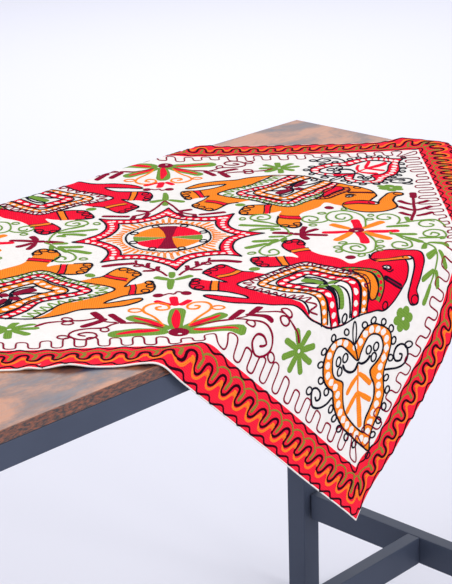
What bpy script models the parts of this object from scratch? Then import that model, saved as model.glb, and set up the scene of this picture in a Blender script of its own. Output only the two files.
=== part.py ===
"""Square embroidered tapestry laid corner-wise over a plain bar-height table.

The cloth lies flat on the table's top. One corner hangs over the front edge and the
opposite one over the back edge, and the other two reach just past the table's ends.
Metres, +Z up, +X along the table to the right, +Y to its back. The origin is on the
floor, under the middle of the whole object.
"""

import math
from collections import namedtuple

import bmesh
import bpy

# Table
TABLE_LENGTH = 1.200
TABLE_DEPTH = 0.600
TABLE_HEIGHT = 0.900
BOARD_THICKNESS = 0.015
BOARD_EDGE_ROUND = 0.0008
LEG_SIDE = 0.040
TUBE_EDGE_ROUND = 0.0015
TOP_RAIL_HEIGHT = 0.030
TOP_RAIL_WIDTH = 0.020
LOW_RAIL_HEIGHT = 0.050
LOW_RAIL_WIDTH = 0.025
LOW_RAIL_BOTTOM = 0.166
STRETCHER_FACE_Y = 0.009
TAB_THICKNESS = 0.003
TAB_WIDTH = 0.016
TAB_HEIGHT = 0.034
FIT_GAP = 0.0003

# Cloth
CLOTH_SIDE = 0.900
CLOTH_THICKNESS = 0.0016
CLOTH_COLUMNS = 34
CLOTH_FAR_ROW = 0.036
CLOTH_BEND_ROW = 0.005
CLOTH_BEND_START = -0.040
CLOTH_BEND_END = 0.034

# The cloth's middle is at x 0. It lies a little right of the table's middle, and behind it.
CLOTH_Y = 0.018
TABLE_X = -0.012

HALF_DIAGONAL = CLOTH_SIDE / math.sqrt(2)
REST_HEIGHT = TABLE_HEIGHT + FIT_GAP + CLOTH_THICKNESS / 2
STEPS_PER_BEND = 12

# How the cloth turns down over an edge: `past` is measured along the cloth from the
# table's edge, and `slope` is in degrees below level. It lifts a little before it turns.
Bend = namedtuple("Bend", "past slope")
FRONT_BENDS = (
    Bend(-0.036, 0.0),
    Bend(-0.020, -11.0),
    Bend(-0.004, 0.0),
    Bend(0.012, 79.0),
    Bend(0.030, 86.0),
    Bend(0.160, 87.0),
    Bend(0.320, 88.5),
)
BACK_BENDS = (
    Bend(-0.036, 0.0),
    Bend(-0.020, -11.0),
    Bend(-0.004, 0.0),
    Bend(0.012, 76.0),
    Bend(0.030, 83.0),
    Bend(0.180, 86.0),
    Bend(0.360, 89.0),
)
END_BENDS = (
    Bend(-0.040, 0.0),
    Bend(-0.022, -12.0),
    Bend(-0.006, 0.0),
    Bend(0.016, 10.0),
    Bend(0.050, 14.0),
)

# Soft folds of a hanging corner, which are full from `depth` down: `middle` and `width`
# are along X, and `bulge` is how far the fold stands off the table.
Fold = namedtuple("Fold", "middle width bulge depth")
FRONT_FOLDS = (
    Fold(-0.150, 0.060, 0.0030, 0.100),
    Fold(0.000, 0.050, -0.0020, 0.150),
    Fold(0.165, 0.060, 0.0075, 0.120),
)
BACK_FOLDS = (
    Fold(-0.140, 0.055, 0.0090, 0.180),
    Fold(-0.010, 0.060, -0.0060, 0.180),
    Fold(0.130, 0.050, 0.0080, 0.180),
)

# The front corner's tip turns back towards the table on its right side.
TIP_TURN = 0.009
TIP_TURN_FROM = -0.030
TIP_TURN_TO = 0.060
TIP_TURN_TOP = 0.230
TIP_TURN_FULL = 0.310

# A cloth that hangs on its bias stretches, so the hems of a hanging corner bow downwards.
BIAS_SAG = 0.0040
SAG_FULL = 0.030
SAG_FADE = 0.200
SAG_END = 0.320

# Places where the hem isn't flat and straight. `side` is -1 on the front-left hem and 1
# on the back-right one, `along` is the distance from the middle of that side to the right,
# `height` is how far the hem stands off the board there, and `drawn_in` how far it has
# slipped inwards. Both die away over `spread` along the hem and `reach` into the cloth.
Ripple = namedtuple("Ripple", "side along height drawn_in spread reach")
HEM_RIPPLES = (
    Ripple(-1, -0.097, 0.0045, 0.000, 0.020, 0.032),
    Ripple(-1, -0.140, 0.0020, 0.000, 0.008, 0.018),
    Ripple(1, 0.376, 0.0020, 0.000, 0.016, 0.045),
    Ripple(1, 0.260, 0.0000, 0.007, 0.130, 0.220),
    Ripple(1, -0.060, 0.0015, 0.000, 0.030, 0.020),
)

Finish = namedtuple("Finish", "name colour roughness metallic")
COTTON = Finish("embroidered_cotton", (0.88, 0.80, 0.72, 1.0), 0.90, 0.0)
WOOD = Finish("rustic_board", (0.28, 0.13, 0.06, 1.0), 0.45, 0.0)
STEEL = Finish("powder_coated_steel", (0.07, 0.08, 0.10, 1.0), 0.50, 0.0)
ZINC = Finish("bare_steel_tab", (0.27, 0.29, 0.34, 1.0), 0.45, 0.8)


def clear_scene():
    """Removes what the scene holds."""
    for thing in list(bpy.data.objects):
        bpy.data.objects.remove(thing)


def new_collection(name):
    """A collection for the object, linked to the scene."""
    collection = bpy.data.collections.new(name)
    bpy.context.scene.collection.children.link(collection)
    return collection


def material_of(finish):
    """The Principled material of a finish, made once."""
    found = bpy.data.materials.get(finish.name)
    if found:
        return found
    material = bpy.data.materials.new(finish.name)
    material.use_nodes = True
    shader = material.node_tree.nodes["Principled BSDF"]
    shader.inputs["Base Color"].default_value = finish.colour
    shader.inputs["Roughness"].default_value = finish.roughness
    shader.inputs["Metallic"].default_value = finish.metallic
    return material


def add_box(collection, name, size, middle, finish, edge_round):
    """A rounded box: `size` and `middle` are along X, Y and Z."""
    bpy.ops.mesh.primitive_cube_add(size=1.0, location=middle)
    box = bpy.context.object
    box.name = name
    box.scale = size
    bpy.ops.object.transform_apply(location=False, rotation=False, scale=True)
    bevel = box.modifiers.new("edges", "BEVEL")
    bevel.width = edge_round
    bevel.segments = 2
    box.data.materials.append(material_of(finish))
    box.users_collection[0].objects.unlink(box)
    collection.objects.link(box)
    return box


def smooth(value):
    """Goes from 0 to 1 without a corner as the value does, and holds outside."""
    held = min(max(value, 0.0), 1.0)
    return held * held * (3.0 - 2.0 * held)


def over_edge(bends, past):
    """How far out from the table's edge, and how far up, a point of the cloth lies."""
    out = bends[0].past
    up = 0.0
    for inner, outer in zip(bends, bends[1:]):
        length = outer.past - inner.past
        run = min(past, outer.past) - inner.past
        if run <= 0.0:
            break
        for step in range(STEPS_PER_BEND):
            share = (step + 0.5) / STEPS_PER_BEND * run / length
            slope = math.radians(inner.slope + (outer.slope - inner.slope) * share)
            out += math.cos(slope) * run / STEPS_PER_BEND
            up -= math.sin(slope) * run / STEPS_PER_BEND
    return out, up


def fold_bulge(folds, across, past):
    """How far the folds push a hanging point off the table."""
    bulge = 0.0
    for fold in folds:
        side_fade = math.exp(-(((across - fold.middle) / fold.width) ** 2))
        bulge += fold.bulge * side_fade * smooth(past / fold.depth)
    return bulge


def tip_turn(across, past):
    """How far the tip of the front corner turns back towards the table."""
    side = smooth((across - TIP_TURN_FROM) / (TIP_TURN_TO - TIP_TURN_FROM))
    return TIP_TURN * side * smooth((past - TIP_TURN_TOP) / (TIP_TURN_FULL - TIP_TURN_TOP))


def bias_sag(past):
    """How far a hanging point has sunk as the cloth stretched."""
    fade = 1.0 - smooth((past - SAG_FADE) / (SAG_END - SAG_FADE))
    return BIAS_SAG * smooth(past / SAG_FULL) * fade


def hem_ripple(right, back):
    """How far a point near a hem stands off the board, and how far it slips along X and Y."""
    along = (right - back) / math.sqrt(2)
    across = (right + back) / math.sqrt(2)
    height = 0.0
    slip = 0.0
    for ripple in HEM_RIPPLES:
        inwards = CLOTH_SIDE / 2 - ripple.side * across
        fade = math.exp(-(((along - ripple.along) / ripple.spread) ** 2))
        fade *= math.exp(-((inwards / ripple.reach) ** 2))
        height += ripple.height * fade
        slip -= ripple.side * ripple.drawn_in * fade / math.sqrt(2)
    return height, slip


def cloth_point(right, back):
    """Where a point of the flat cloth lies, from its distances right and back of the middle."""
    height, slip = hem_ripple(right, back)
    right += slip
    back += slip
    x = right
    y = CLOTH_Y + back
    z = REST_HEIGHT + height
    half_depth = TABLE_DEPTH / 2
    half_length = TABLE_LENGTH / 2
    for sign, bends, folds in ((-1, FRONT_BENDS, FRONT_FOLDS), (1, BACK_BENDS, BACK_FOLDS)):
        past = sign * (CLOTH_Y + back) - half_depth
        if past > bends[0].past:
            out, up = over_edge(bends, past)
            y = sign * (half_depth + out + fold_bulge(folds, right, past))
            z += up - bias_sag(past)
            if sign < 0:
                y += tip_turn(right, past)
    for sign in (-1, 1):
        past = sign * (right - TABLE_X) - half_length
        if past > END_BENDS[0].past:
            out, up = over_edge(END_BENDS, past)
            x = TABLE_X + sign * (half_length + out)
            z += up
    return x, y, z


def row_places():
    """Where the rows of the cloth's grid cross its front-to-back diagonal, close at the bends."""
    front_edge = -TABLE_DEPTH / 2 - CLOTH_Y
    back_edge = TABLE_DEPTH / 2 - CLOTH_Y
    stretches = (
        (-HALF_DIAGONAL, front_edge - CLOTH_BEND_END, CLOTH_FAR_ROW),
        (front_edge - CLOTH_BEND_END, front_edge - CLOTH_BEND_START, CLOTH_BEND_ROW),
        (front_edge - CLOTH_BEND_START, back_edge + CLOTH_BEND_START, CLOTH_FAR_ROW),
        (back_edge + CLOTH_BEND_START, back_edge + CLOTH_BEND_END, CLOTH_BEND_ROW),
        (back_edge + CLOTH_BEND_END, HALF_DIAGONAL, CLOTH_FAR_ROW),
    )
    places = [-HALF_DIAGONAL]
    for start, end, spacing in stretches:
        count = math.ceil((end - start) / spacing)
        places += [start + (end - start) * step / count for step in range(1, count + 1)]
    return places


def add_tapestry(collection):
    """The cloth: a grid whose rows shrink to its front and back corners, draped and thickened."""
    places = row_places()
    cells = len(places) - 1
    mesh = bpy.data.meshes.new("tapestry")
    grid = bmesh.new()
    bmesh.ops.create_grid(grid, x_segments=CLOTH_COLUMNS, y_segments=cells, size=1.0)
    for vertex in grid.verts:
        back = places[round((vertex.co.y + 1.0) / 2.0 * cells)]
        reach = HALF_DIAGONAL - abs(back)
        right = reach * math.sin(vertex.co.x * math.pi / 2)
        vertex.co = cloth_point(right, back)
    bmesh.ops.remove_doubles(grid, verts=grid.verts, dist=1e-5)
    grid.to_mesh(mesh)
    grid.free()
    mesh.materials.append(material_of(COTTON))
    mesh.shade_smooth()
    cloth = bpy.data.objects.new("tapestry", mesh)
    collection.objects.link(cloth)
    thicken = cloth.modifiers.new("thickness", "SOLIDIFY")
    thicken.thickness = CLOTH_THICKNESS
    thicken.offset = 0.0
    return cloth


def add_table(collection):
    """The table: a board on four square legs, tied by rails under it and by a low H frame."""
    underside = TABLE_HEIGHT - BOARD_THICKNESS
    leg_height = underside - FIT_GAP
    leg_x = TABLE_LENGTH / 2 - LEG_SIDE / 2
    leg_y = TABLE_DEPTH / 2 - LEG_SIDE / 2
    top_z = underside - FIT_GAP - TOP_RAIL_HEIGHT / 2
    top_x = TABLE_LENGTH / 2 - TOP_RAIL_WIDTH / 2
    top_y = TABLE_DEPTH / 2 - TOP_RAIL_WIDTH / 2
    long_rail = TABLE_LENGTH - 2 * LEG_SIDE - 2 * FIT_GAP
    short_rail = TABLE_DEPTH - 2 * LEG_SIDE - 2 * FIT_GAP
    low_x = TABLE_LENGTH / 2 - LOW_RAIL_WIDTH / 2
    low_z = LOW_RAIL_BOTTOM + LOW_RAIL_HEIGHT / 2
    low_length = short_rail - 2 * (TAB_THICKNESS + FIT_GAP)
    tab_y = TABLE_DEPTH / 2 - LEG_SIDE - FIT_GAP - TAB_THICKNESS / 2
    stretcher_length = TABLE_LENGTH - 2 * LOW_RAIL_WIDTH - 2 * FIT_GAP

    def add(name, size, place, finish=STEEL, edge_round=TUBE_EDGE_ROUND):
        """One piece of the table, placed from the table's middle."""
        x, y, z = place
        add_box(collection, name, size, (TABLE_X + x, y, z), finish, edge_round)

    board_size = (TABLE_LENGTH, TABLE_DEPTH, BOARD_THICKNESS)
    board_z = TABLE_HEIGHT - BOARD_THICKNESS / 2
    add("table_board", board_size, (0.0, 0.0, board_z), WOOD, BOARD_EDGE_ROUND)
    leg_size = (LEG_SIDE, LEG_SIDE, leg_height)
    tab_size = (TAB_WIDTH, TAB_THICKNESS, TAB_HEIGHT)
    end_rail_size = (TOP_RAIL_WIDTH, short_rail, TOP_RAIL_HEIGHT)
    low_rail_size = (LOW_RAIL_WIDTH, low_length, LOW_RAIL_HEIGHT)
    long_rail_size = (long_rail, TOP_RAIL_WIDTH, TOP_RAIL_HEIGHT)
    stretcher_size = (stretcher_length, LOW_RAIL_WIDTH, LOW_RAIL_HEIGHT)
    for end, along in (("left", -1), ("right", 1)):
        for side, across in (("front", -1), ("back", 1)):
            add(f"leg_{side}_{end}", leg_size, (along * leg_x, across * leg_y, leg_height / 2))
            add(f"tab_{side}_{end}", tab_size, (along * low_x, across * tab_y, low_z), ZINC, FIT_GAP)
        add(f"top_rail_{end}", end_rail_size, (along * top_x, 0.0, top_z))
        add(f"low_rail_{end}", low_rail_size, (along * low_x, 0.0, low_z))
    for side, across in (("front", -1), ("back", 1)):
        add(f"top_rail_{side}", long_rail_size, (0.0, across * top_y, top_z))
    stretcher_y = STRETCHER_FACE_Y + LOW_RAIL_WIDTH / 2
    add("stretcher", stretcher_size, (0.0, stretcher_y, low_z))


def main():
    """Builds the table and the tapestry on it."""
    clear_scene()
    collection = new_collection("tapestry_on_table")
    add_table(collection)
    add_tapestry(collection)


main()
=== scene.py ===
"""Looks of the embroidered tapestry on its bar-height table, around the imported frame.

The cloth is draped by the same named bends, folds and ripples as its solid. All stitching is
placed in millimetres on the flat cloth, from its middle, and then laid on the draped surface.
"""

import logging
import math
from dataclasses import dataclass, field, replace
from enum import Enum
from typing import Callable, Iterable, Sequence

import bpy
import numpy as np
from mathutils import Matrix, Vector
from mathutils.geometry import delaunay_2d_cdt


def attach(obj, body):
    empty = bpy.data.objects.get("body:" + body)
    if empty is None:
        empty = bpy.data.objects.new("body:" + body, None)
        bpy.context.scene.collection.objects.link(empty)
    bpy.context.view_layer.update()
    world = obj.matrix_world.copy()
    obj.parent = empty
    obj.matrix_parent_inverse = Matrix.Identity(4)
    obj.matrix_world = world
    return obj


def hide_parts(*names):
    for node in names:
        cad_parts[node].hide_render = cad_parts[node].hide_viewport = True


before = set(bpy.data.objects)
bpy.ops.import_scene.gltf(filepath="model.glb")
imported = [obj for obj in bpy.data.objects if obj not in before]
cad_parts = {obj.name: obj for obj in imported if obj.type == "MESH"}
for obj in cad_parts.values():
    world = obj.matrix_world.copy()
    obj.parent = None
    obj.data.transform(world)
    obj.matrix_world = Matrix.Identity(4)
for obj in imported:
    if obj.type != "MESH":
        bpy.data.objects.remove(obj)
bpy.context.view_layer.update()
BODY = "root"
MM = 0.001
log = logging.getLogger("tapestry")

Points = Sequence[tuple[float, float]]
Pulls = Sequence[tuple[float, float, float, float]]
Steps = tuple[np.ndarray, np.ndarray]
Colour = tuple[float, float, float, float]
Socket = bpy.types.NodeSocket
TAU = 2 * math.pi


def linear(code: str) -> Colour:
    """Turns an sRGB hex colour into the linear one that shaders take.

    Args:
        code: six hex digits, with or without a leading #.

    Returns:
        Linear red, green, blue and full alpha.
    """
    digits = code.lstrip("#")
    parts = [int(digits[k : k + 2], 16) / 255 for k in (0, 2, 4)]
    flat = [p / 12.92 if p <= 0.04045 else ((p + 0.055) / 1.055) ** 2.4 for p in parts]
    return (flat[0], flat[1], flat[2], 1.0)


@dataclass
class Recipe:
    """A Principled material, with short ways to add the nodes behind its sockets."""

    name: str
    material: bpy.types.Material = field(init=False)

    def __post_init__(self) -> None:
        """Makes the plain material."""
        self.material = bpy.data.materials.new(self.name)
        self.material.use_nodes = True

    def add(self, kind: str, settings: dict | None = None, inputs: dict | None = None) -> bpy.types.Node:
        """Adds one node.

        Args:
            kind: the node's type name, without the start that all share.
            settings: attributes of the node.
            inputs: what `feed` gives to its inputs.

        Returns:
            The new node.
        """
        node = self.material.node_tree.nodes.new(f"ShaderNode{kind}")
        for name, value in (settings or {}).items():
            setattr(node, name, value)
        self.feed(node, inputs or {})
        return node

    def feed(self, node: bpy.types.Node, inputs: dict) -> None:
        """Fills a node's inputs.

        Args:
            node: the node.
            inputs: for inputs by name or number, a socket to link or a constant to set.
        """
        for name, value in inputs.items():
            if isinstance(value, bpy.types.NodeSocket):
                self.material.node_tree.links.new(value, node.inputs[name])
            else:
                node.inputs[name].default_value = value

    def maths(self, operation: str, *inputs: Socket | float) -> Socket:
        """The result of one step of arithmetic."""
        return self.add("Math", {"operation": operation}, dict(enumerate(inputs))).outputs[0]

    def noise(
        self,
        place: Socket,
        scale: float,
        detail: float = 2.0,
        roughness: float = 0.5,
        distortion: float = 0.0,
    ) -> Socket:
        """Clouds with values round a half. `scale` is how many fit in a unit of `place`."""
        inputs = {
            "Vector": place,
            "Scale": scale,
            "Detail": detail,
            "Roughness": roughness,
            "Distortion": distortion,
        }
        return self.add("TexNoise", inputs=inputs).outputs["Fac"]

    def blend(self, share: Socket, first: Socket | Colour, second: Socket | Colour) -> Socket:
        """A colour between two, the second one at a share of 1."""
        return self.add("Mix", {"data_type": "RGBA"}, {0: share, 6: first, 7: second}).outputs[2]

    def ramp(self, share: Socket, stops: dict[float, str]) -> Socket:
        """A colour that runs through hex colours, given by their place from 0 to 1."""
        node = self.add("ValToRGB", inputs={0: share})
        elements = node.color_ramp.elements
        for element, position in zip(elements, (min(stops), max(stops))):
            element.position = position
            element.color = linear(stops[position])
        for position in sorted(stops)[1:-1]:
            elements.new(position).color = linear(stops[position])
        return node.outputs[0]

    def stretch(self, value: Socket, low: float, high: float, new_low: float, new_high: float) -> Socket:
        """A value carried from one range to another and held at its ends."""
        return self.add("MapRange", inputs={0: value, 1: low, 2: high, 3: new_low, 4: new_high}).outputs[0]

    def split(self, vector: Socket) -> Sequence[Socket]:
        """The three parts of a vector."""
        return self.add("SeparateXYZ", inputs={0: vector}).outputs

    def layer(self, name: str) -> Socket:
        """The coordinates of a UV layer."""
        return self.add("UVMap", {"uv_map": name}).outputs[0]

    def place(self, *scale: float) -> Socket:
        """Where a point lies in its own piece, in metres, or scaled along X, Y and Z."""
        place = self.add("TexCoord").outputs["Object"]
        return self.add("Mapping", inputs={"Scale": scale, "Vector": place}).outputs[0] if scale else place

    def relief(self, height: Socket, strength: float, depth: float) -> None:
        """Shades the surface as if it rose with a height, `depth` metres for each unit."""
        bump = self.add("Bump", inputs={"Strength": strength, "Distance": depth, "Height": height})
        self.finish({"Normal": bump.outputs[0]})

    def finish(self, inputs: dict) -> bpy.types.Material:
        """Feeds the shader, and gives the material."""
        self.feed(self.material.node_tree.nodes["Principled BSDF"], inputs)
        return self.material


def smooth(value: np.ndarray) -> np.ndarray:
    """Goes from 0 to 1 without a corner as the value does, and holds outside."""
    held = np.clip(value, 0.0, 1.0)
    return held * held * (3.0 - 2.0 * held)


def rises(value: np.ndarray, start: float, reach: float) -> np.ndarray:
    """Goes from 0 to 1 without a corner, over a reach from a start."""
    return smooth((value - start) / reach)


@dataclass(frozen=True)
class Bend:
    """The cloth's slope, in degrees below level, at a distance past the table's edge."""

    past: float
    slope: float


@dataclass(frozen=True)
class Fold:
    """A soft fold of a hanging corner, full from `depth` down."""

    middle: float
    width: float
    bulge: float
    depth: float


@dataclass(frozen=True)
class Ripple:
    """A place where the hem stands off the board or has slipped inwards."""

    side: int
    along: float
    height: float
    drawn_in: float
    spread: float
    reach: float


@dataclass(frozen=True)
class Crease:
    """A soft ridge of the lying cloth between two points of the flat cloth, in metres."""

    start: tuple[float, float]
    end: tuple[float, float]
    width: float
    height: float


@dataclass(frozen=True)
class Drape:
    """Lays points of the flat cloth on the surface that it drapes in."""

    half_length: float = 0.600
    half_depth: float = 0.300
    table_x: float = -0.012
    cloth_y: float = 0.018
    rest_height: float = 0.9011
    side: float = 0.900
    front: tuple[Bend, ...] = (
        Bend(-0.036, 0.0),
        Bend(-0.020, -11.0),
        Bend(-0.004, 0.0),
        Bend(0.012, 79.0),
        Bend(0.030, 86.0),
        Bend(0.160, 87.0),
        Bend(0.320, 88.5),
    )
    back: tuple[Bend, ...] = (
        Bend(-0.036, 0.0),
        Bend(-0.020, -11.0),
        Bend(-0.004, 0.0),
        Bend(0.012, 76.0),
        Bend(0.030, 83.0),
        Bend(0.180, 86.0),
        Bend(0.360, 89.0),
    )
    ends: tuple[Bend, ...] = (
        Bend(-0.040, 0.0),
        Bend(-0.022, -12.0),
        Bend(-0.006, 0.0),
        Bend(0.016, 10.0),
        Bend(0.050, 14.0),
    )
    front_folds: tuple[Fold, ...] = (
        Fold(-0.150, 0.060, 0.0030, 0.100),
        Fold(0.000, 0.050, -0.0020, 0.150),
        Fold(0.165, 0.060, 0.0075, 0.120),
    )
    back_folds: tuple[Fold, ...] = (
        Fold(-0.140, 0.055, 0.0090, 0.180),
        Fold(-0.010, 0.060, -0.0060, 0.180),
        Fold(0.130, 0.050, 0.0080, 0.180),
    )
    ripples: tuple[Ripple, ...] = (
        Ripple(-1, -0.097, 0.0045, 0.000, 0.020, 0.032),
        Ripple(-1, -0.140, 0.0020, 0.000, 0.008, 0.018),
        Ripple(1, 0.376, 0.0020, 0.000, 0.016, 0.045),
        Ripple(1, 0.260, 0.0000, 0.007, 0.130, 0.220),
        Ripple(1, -0.060, 0.0015, 0.000, 0.030, 0.020),
    )
    creases: tuple[Crease, ...] = (
        Crease((-0.330, -0.150), (-0.090, -0.330), 0.016, 0.0012),
        Crease((-0.200, 0.060), (0.020, -0.020), 0.022, 0.0010),
        Crease((0.060, 0.120), (0.300, 0.030), 0.020, 0.0012),
        Crease((-0.060, 0.330), (0.140, 0.170), 0.018, 0.0012),
        Crease((0.250, 0.330), (0.330, 0.150), 0.015, 0.0010),
        Crease((-0.050, -0.260), (0.130, -0.180), 0.018, 0.0008),
    )
    tip_turn: float = 0.009
    turn_across: tuple[float, float] = (-0.030, 0.090)
    turn_down: tuple[float, float] = (0.230, 0.080)
    bias_sag: float = 0.0040
    sag_from: tuple[float, float] = (0.0, 0.030)
    sag_to: tuple[float, float] = (0.200, 0.120)
    swell: float = 0.00035
    probe: float = 0.0006

    @staticmethod
    def run_down(bends: tuple[Bend, ...], past: np.ndarray) -> tuple[np.ndarray, np.ndarray]:
        """Follows the cloth over an edge.

        Args:
            bends: the slopes along the cloth.
            past: distances past the edge, along the cloth.

        Returns:
            How far out and how far up each point lies.
        """
        step = 0.0002
        places = np.arange(bends[0].past, bends[-1].past + step, step)
        middles = places[:-1] + step / 2
        slopes = np.radians(np.interp(middles, [b.past for b in bends], [b.slope for b in bends]))
        out = bends[0].past + np.concatenate([[0.0], np.cumsum(np.cos(slopes) * step)])
        up = -np.concatenate([[0.0], np.cumsum(np.sin(slopes) * step)])
        return np.interp(past, places, out), np.interp(past, places, up)

    @staticmethod
    def fold_bulge(folds: tuple[Fold, ...], across: np.ndarray, past: np.ndarray) -> np.ndarray:
        """How far the folds push hanging points off the table."""
        total = np.zeros_like(across)
        for fold in folds:
            fade = np.exp(-(((across - fold.middle) / fold.width) ** 2))
            total += fold.bulge * fade * smooth(past / fold.depth)
        return total

    def hem_ripple(self, right: np.ndarray, back: np.ndarray) -> tuple[np.ndarray, np.ndarray]:
        """How far points near a hem stand off the board, and how far they slip along X and Y."""
        along = (right - back) / math.sqrt(2)
        across = (right + back) / math.sqrt(2)
        height = np.zeros_like(right)
        slip = np.zeros_like(right)
        for ripple in self.ripples:
            inwards = self.side / 2 - ripple.side * across
            fade = np.exp(-(((along - ripple.along) / ripple.spread) ** 2))
            fade = fade * np.exp(-((inwards / ripple.reach) ** 2))
            height += ripple.height * fade
            slip -= ripple.side * ripple.drawn_in * fade / math.sqrt(2)
        return height, slip

    def crease_height(self, u: np.ndarray, v: np.ndarray) -> np.ndarray:
        """How far the soft ridges lift points of the cloth."""
        total = np.zeros_like(u)
        for crease in self.creases:
            start = np.array(crease.start)
            run = np.array(crease.end) - start
            length = float(np.hypot(*run))
            along = ((u - start[0]) * run[0] + (v - start[1]) * run[1]) / length**2
            across = ((u - start[0]) * run[1] - (v - start[1]) * run[0]) / length
            fade = np.sin(np.pi * np.clip(along, 0.0, 1.0)) ** 2
            total += crease.height * fade * np.exp(-((across / crease.width) ** 2))
        slow = np.sin(u * 43.0 + 1.3 * np.sin(v * 31.0)) * np.sin(v * 37.0 + 0.8)
        return total + self.swell * (1.0 + slow)

    def surface(self, u: np.ndarray, v: np.ndarray) -> np.ndarray:
        """Where points of the flat cloth lie.

        Args:
            u: distances along the picture's right, in metres from the cloth's middle.
            v: distances along the picture's top, in metres from the cloth's middle.

        Returns:
            One row of X, Y and Z for each point.
        """
        right = (u + v) / math.sqrt(2)
        back = (v - u) / math.sqrt(2)
        height, slip = self.hem_ripple(right, back)
        right = right + slip
        back = back + slip
        x = right.copy()
        y = self.cloth_y + back
        z = self.rest_height + height + self.crease_height(u, v)
        for sign, bends, folds in ((-1, self.front, self.front_folds), (1, self.back, self.back_folds)):
            past = sign * (self.cloth_y + back) - self.half_depth
            over = past > bends[0].past
            out, up = self.run_down(bends, np.where(over, past, bends[0].past))
            hang = np.where(over, past, 0.0)
            bulge = self.fold_bulge(folds, right, hang)
            sag = self.bias_sag * rises(hang, *self.sag_from) * (1.0 - rises(hang, *self.sag_to))
            y = np.where(over, sign * (self.half_depth + out + bulge), y)
            z = np.where(over, z + up - sag, z)
            if sign < 0:
                turned = rises(right, *self.turn_across) * rises(hang, *self.turn_down)
                y = np.where(over, y + self.tip_turn * turned, y)
        for sign in (-1, 1):
            past = sign * (right - self.table_x) - self.half_length
            over = past > self.ends[0].past
            out, up = self.run_down(self.ends, np.where(over, past, self.ends[0].past))
            x = np.where(over, self.table_x + sign * (self.half_length + out), x)
            z = np.where(over, z + up, z)
        return np.stack([x, y, z], axis=1)

    def lay(self, u: np.ndarray, v: np.ndarray, lift: np.ndarray) -> np.ndarray:
        """Where points lie that stand `lift` metres off the cloth's middle layer."""
        step = self.probe
        along = self.surface(u + step, v) - self.surface(u - step, v)
        across = self.surface(u, v + step) - self.surface(u, v - step)
        normal = np.cross(along, across)
        normal /= np.linalg.norm(normal, axis=1, keepdims=True)
        return self.surface(u, v) + normal * lift[:, None]


class Thread(Enum):
    """The yarns of the embroidery. The value is a yarn's colour in sRGB hex."""

    RED = "#EB0C31"
    ORANGE = "#F98423"
    GREEN = "#6E933A"
    MAROON = "#86062D"
    BLACK = "#131322"
    DUSK = "#2A0514"
    OLIVE = "#857F34"
    CORAL = "#F5233B"
    FLAME = "#FF7A2A"


class Shape(Enum):
    """How a stitched line's width runs from its start to its end."""

    CORD = "even, with round ends"
    LEAF = "narrow at both ends"
    BUD = "a little narrower at its start"
    TAIL = "full at its start and narrow at its end"


@dataclass(frozen=True)
class CottonCloth:
    """Plain-woven cotton, bleached: matt, with a fine over-and-under grain."""

    name: str = "plain_woven_bleached_cotton"
    colour: str = "#EDEAE5"
    shade: str = "#DFDAD4"
    yarn_mm: float = 1.2
    slubs_per_mm: float = 0.09
    slub_height: float = 6.0
    roughness: float = 0.85
    fuzz: float = 0.15

    def make(self) -> bpy.types.Material:
        """Builds the material. The yarns are drawn 1.2 mm apart, twice their real spacing, to show."""
        recipe = Recipe(self.name)
        flat = recipe.layer("flat_mm")
        turns = [recipe.maths("MULTIPLY", axis, math.pi / self.yarn_mm) for axis in recipe.split(flat)[:2]]
        weave = recipe.maths("MULTIPLY", *[recipe.maths("SINE", turn) for turn in turns])
        slub = recipe.noise(flat, self.slubs_per_mm, detail=4.0)
        recipe.relief(recipe.maths("MULTIPLY_ADD", slub, self.slub_height, weave), 0.35, 0.0004)
        tone = recipe.blend(slub, linear(self.shade), linear(self.colour))
        return recipe.finish({"Base Color": tone, "Roughness": self.roughness, "Sheen Weight": self.fuzz})


@dataclass(frozen=True)
class ChainStitch:
    """Soft spun yarn worked in chain stitch: rows of small slanting links, with painted shade between the
    rows.
    """

    thread: Thread
    link_mm: float = 3.2
    link_lean: float = 5.0
    link_height: float = 0.45
    row_crown: float = 3.4
    # Painted shade: the next two lines give the relief heights over which the colour darkens between links
    # and rows, and how far it darkens.
    painted_shade_heights: tuple[float, float] = (-1.9, -0.5)
    painted_shade_factor: float = 0.68
    pale: float = 1.22
    pale_lift: float = 0.002
    patches_per_mm: float = 0.16
    roughness: float = 0.75
    shine: float = 0.02

    def toned(self, factor: float, lift: float = 0.0) -> Colour:
        """The yarn's colour, darker or paler."""
        red, green, blue = (min(1.0, part * factor + lift) for part in linear(self.thread.value)[:3])
        return (red, green, blue, 1.0)

    def make(self) -> bpy.types.Material:
        """Builds the material from UVs: millimetres along a row, and rows across it."""
        recipe = Recipe(f"chain_stitched_yarn_{self.thread.name.lower()}")
        rows = recipe.layer("rows")
        along, across = recipe.split(rows)[:2]
        off_middle = recipe.maths("ABSOLUTE", recipe.maths("SUBTRACT", recipe.maths("FRACT", across), 0.5))
        turn = recipe.maths("MULTIPLY", along, 2 * math.pi / self.link_mm)
        link = recipe.maths("SINE", recipe.maths("MULTIPLY_ADD", off_middle, self.link_lean, turn))
        crown = recipe.maths("MULTIPLY", off_middle, -self.row_crown)
        height = recipe.maths("MULTIPLY_ADD", link, self.link_height, crown)
        recipe.relief(height, 0.4, 0.0004)
        dye = recipe.noise(rows, self.patches_per_mm, detail=4.0)
        dyed = recipe.blend(dye, linear(self.thread.value), self.toned(self.pale, self.pale_lift))
        # Painted shade: the yarn's colour darkens where the relief sinks between links and rows.
        tone = recipe.blend(recipe.stretch(height, *self.painted_shade_heights, 0.0, 1.0), self.toned(self.painted_shade_factor), dyed)
        return recipe.finish(
            {"Base Color": tone, "Roughness": self.roughness, "Specular IOR Level": self.shine}
        )


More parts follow.
